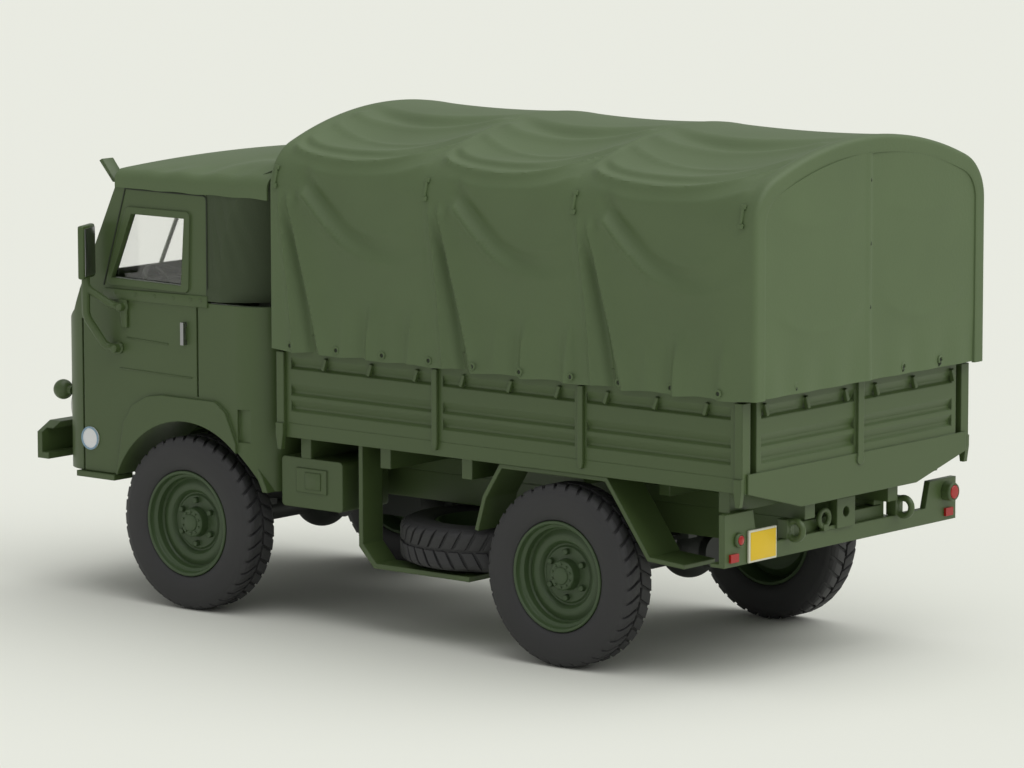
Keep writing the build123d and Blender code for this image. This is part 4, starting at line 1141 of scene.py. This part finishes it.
class TRUCK_OT_rims(Operator):
    """Presses the disc wheels with their nuts and hubs"""
    bl_idname = "truck.rims"
    bl_label = "Rims"

    def execute(self, context):
        wheels = context.scene.truck_wheels
        edge = wheels.rim_radius / mm
        half = wheels.tyre_width / 2 / mm
        # the outer face from the lip to the hub's middle, then the inner face back, as radius and
        # distance from the tyre's face
        outline = [
            (edge, 0.8), (edge, 0.42), (edge - 0.12, 0.3), (edge - 0.34, 0.3), (edge - 0.46, 0.42),
            (edge - 0.5, 0.95), (edge - 0.62, 1.15), (edge - 0.9, 1.25), (edge - 1.05, 1.4),
            (edge - 1.12, 2.25), (edge - 1.3, 2.5), (edge - 1.55, 2.45), (edge - 1.9, 2.2), (edge - 2.4, 2.15),
            (edge - 2.9, 2.3), (edge - 3.2, 2.65), (4.15, 2.95), (3.95, 3.0), (3.8, 2.85), (3.7, 2.75),
            (2.15, 2.72), (2.08, 2.5), (2.0, 1.5), (1.85, 1.34), (1.2, 1.3), (1.14, 1.12), (1.0, 1.04),
            (0.5, 1.0), (0.0, 1.0), (0.0, 4.0), (3.4, 4.0), (5.5, 3.9), (edge - 0.9, 2.9), (edge - 0.6, 5.3),
            (edge - 0.4, 5.7), (edge, 5.6), (edge, 0.8),
        ]
        rim = turned("rim", [(radius, inset - half) for radius, inset in outline], 96)
        nut = self.stud(0.42, half - 3.0, half - 2.05, 3.1)
        ring_of(nut, wheels.nuts)
        bolt = self.stud(0.17, half - 1.6, half - 1.12, 1.55)
        ring_of(bolt, wheels.hub_bolts)
        rim = joined([rim, nut, bolt])
        fit_wheels(rim, "rim", "pressed_", "Wheel paint")
        return {"FINISHED"}

    @staticmethod
    def stud(radius, foot, tip, distance):
        """A round nut with a chamfered end, standing out at a distance from the axle."""
        outline = [(0.0, -foot), (radius, -foot), (radius, -(tip - 0.2 * radius)),
                   (radius * 0.75, -tip), (0.0, -tip)]
        stud = turned("stud", outline, 14)
        stud.location.z = distance * mm
        settle(stud)
        return stud


# Stage

class TruckStage(PropertyGroup):
    floor_colour: FloatVectorProperty(
        name="Floor", description="Colour of the paper sweep under the model",
        subtype="COLOR", default=(0.806, 0.819, 0.748), min=0, max=1)
    floor_size: FloatProperty(
        name="Floor size", description="Side of the floor", subtype="DISTANCE", default=40.0)
    fill_light: FloatProperty(
        name="Fill", description="Strength of the even light from all round", default=0.44)
    key_light: FloatProperty(
        name="Key", description="Strength of the broad overhead lamp", default=2.0)
    key_spread: FloatProperty(
        name="Key spread", description="Apparent width of the overhead lamp",
        subtype="ANGLE", default=math.radians(80))
    view_distance: FloatProperty(
        name="Camera distance", description="From the camera to the point it looks at",
        subtype="DISTANCE", default=0.755)
    view_azimuth: FloatProperty(
        name="Camera azimuth", description="Direction of the camera from the front, leftwards",
        subtype="ANGLE", default=math.radians(129.797))
    view_elevation: FloatProperty(
        name="Camera elevation", description="Height of the camera above the level",
        subtype="ANGLE", default=math.radians(8.074))
    view_roll: FloatProperty(
        name="Camera roll", description="Turn of the picture", subtype="ANGLE",
        default=math.radians(-0.106))
    focal_length: FloatProperty(
        name="Focal length", description="On a sensor 36 mm wide", default=190.4)


class TRUCK_OT_stage(Operator):
    """Lays the pale floor and sets the soft lamps and the camera"""
    bl_idname = "truck.stage"
    bl_label = "Stage"

    key_toward = (-0.46, -0.18, 1.0)    # from the model to the overhead lamp
    look_at = (-3.31, 0, 32.82)         # where the camera looks, in millimetres

    def execute(self, context):
        stage = context.scene.truck_stage
        scene = context.scene
        scene.view_settings.view_transform = "Standard"
        deselect()
        bpy.ops.mesh.primitive_plane_add(size=stage.floor_size)
        floor = context.active_object
        floor.name = "floor"
        paper, _, shader = nodes_of("Paper sweep")
        shader.inputs["Base Color"].default_value = (*stage.floor_colour, 1)
        shader.inputs["Roughness"].default_value = 0.9
        shader.inputs["Specular IOR Level"].default_value = 0.0
        floor.data.materials.append(paper)

        world = bpy.data.worlds.new("Studio")
        world.use_nodes = True
        background = world.node_tree.nodes["Background"]
        background.inputs["Color"].default_value = (1, 1, 1, 1)
        background.inputs["Strength"].default_value = stage.fill_light
        scene.world = world

        toward = Vector(self.key_toward).normalized()
        bpy.ops.object.light_add(type="SUN", location=toward)
        lamp = context.active_object
        lamp.name = "overhead_lamp"
        lamp.rotation_euler = toward.to_track_quat("Z", "Y").to_euler()
        lamp.data.energy = stage.key_light
        lamp.data.angle = stage.key_spread

        look_at = Vector(self.look_at) * mm
        level = math.cos(stage.view_elevation)
        back = Vector((level * math.cos(stage.view_azimuth),
                       level * math.sin(stage.view_azimuth),
                       math.sin(stage.view_elevation)))
        bpy.ops.object.camera_add(location=look_at + back * stage.view_distance)
        camera = context.active_object
        camera.name = "photo_camera"
        turn = back.to_track_quat("Z", "Y").to_matrix() @ Matrix.Rotation(stage.view_roll, 3, "Z")
        camera.rotation_euler = turn.to_euler()
        camera.data.lens = stage.focal_length
        camera.data.sensor_width = 36
        camera.data.clip_start = 0.01
        camera.data.clip_end = 200
        scene.camera = camera
        return {"FINISHED"}


class TRUCK_PT_panel(Panel):
    """Lists the steps that dress the model"""
    bl_label = "Model cargo truck"
    bl_idname = "TRUCK_PT_panel"
    bl_space_type = "VIEW_3D"
    bl_region_type = "UI"
    bl_category = "Truck"

    def draw(self, context):
        for step in STEPS:
            self.layout.operator(step.bl_idname)
        for holder in GROUPS:
            group = getattr(context.scene, holder)
            for key in group.bl_rna.properties.keys():
                if key not in ("rna_type", "name"):
                    self.layout.prop(group, key)


STEPS = (
    TRUCK_OT_finishes,
    TRUCK_OT_tarpaulin,
    TRUCK_OT_end_curtains,
    TRUCK_OT_cover_fittings,
    TRUCK_OT_cab_canvas,
    TRUCK_OT_cab_fittings,
    TRUCK_OT_tail_fittings,
    TRUCK_OT_tyres,
    TRUCK_OT_rims,
    TRUCK_OT_stage,
)
GROUPS = {
    "truck_finishes": TruckFinishes,
    "truck_cover": TruckCover,
    "truck_cab": TruckCab,
    "truck_wheels": TruckWheels,
    "truck_stage": TruckStage,
}


def register():
    for cls in (*GROUPS.values(), *STEPS, TRUCK_PT_panel):
        bpy.utils.register_class(cls)
    for name, cls in GROUPS.items():
        setattr(bpy.types.Scene, name, PointerProperty(type=cls))


def unregister():
    for name in GROUPS:
        delattr(bpy.types.Scene, name)
    for cls in (TRUCK_PT_panel, *reversed(STEPS), *GROUPS.values()):
        bpy.utils.unregister_class(cls)


def main():
    """Runs every step in order."""
    register()
    for step in STEPS:
        group, name = step.bl_idname.split(".")
        getattr(getattr(bpy.ops, group), name)()


if __name__ == "__main__":
    main()
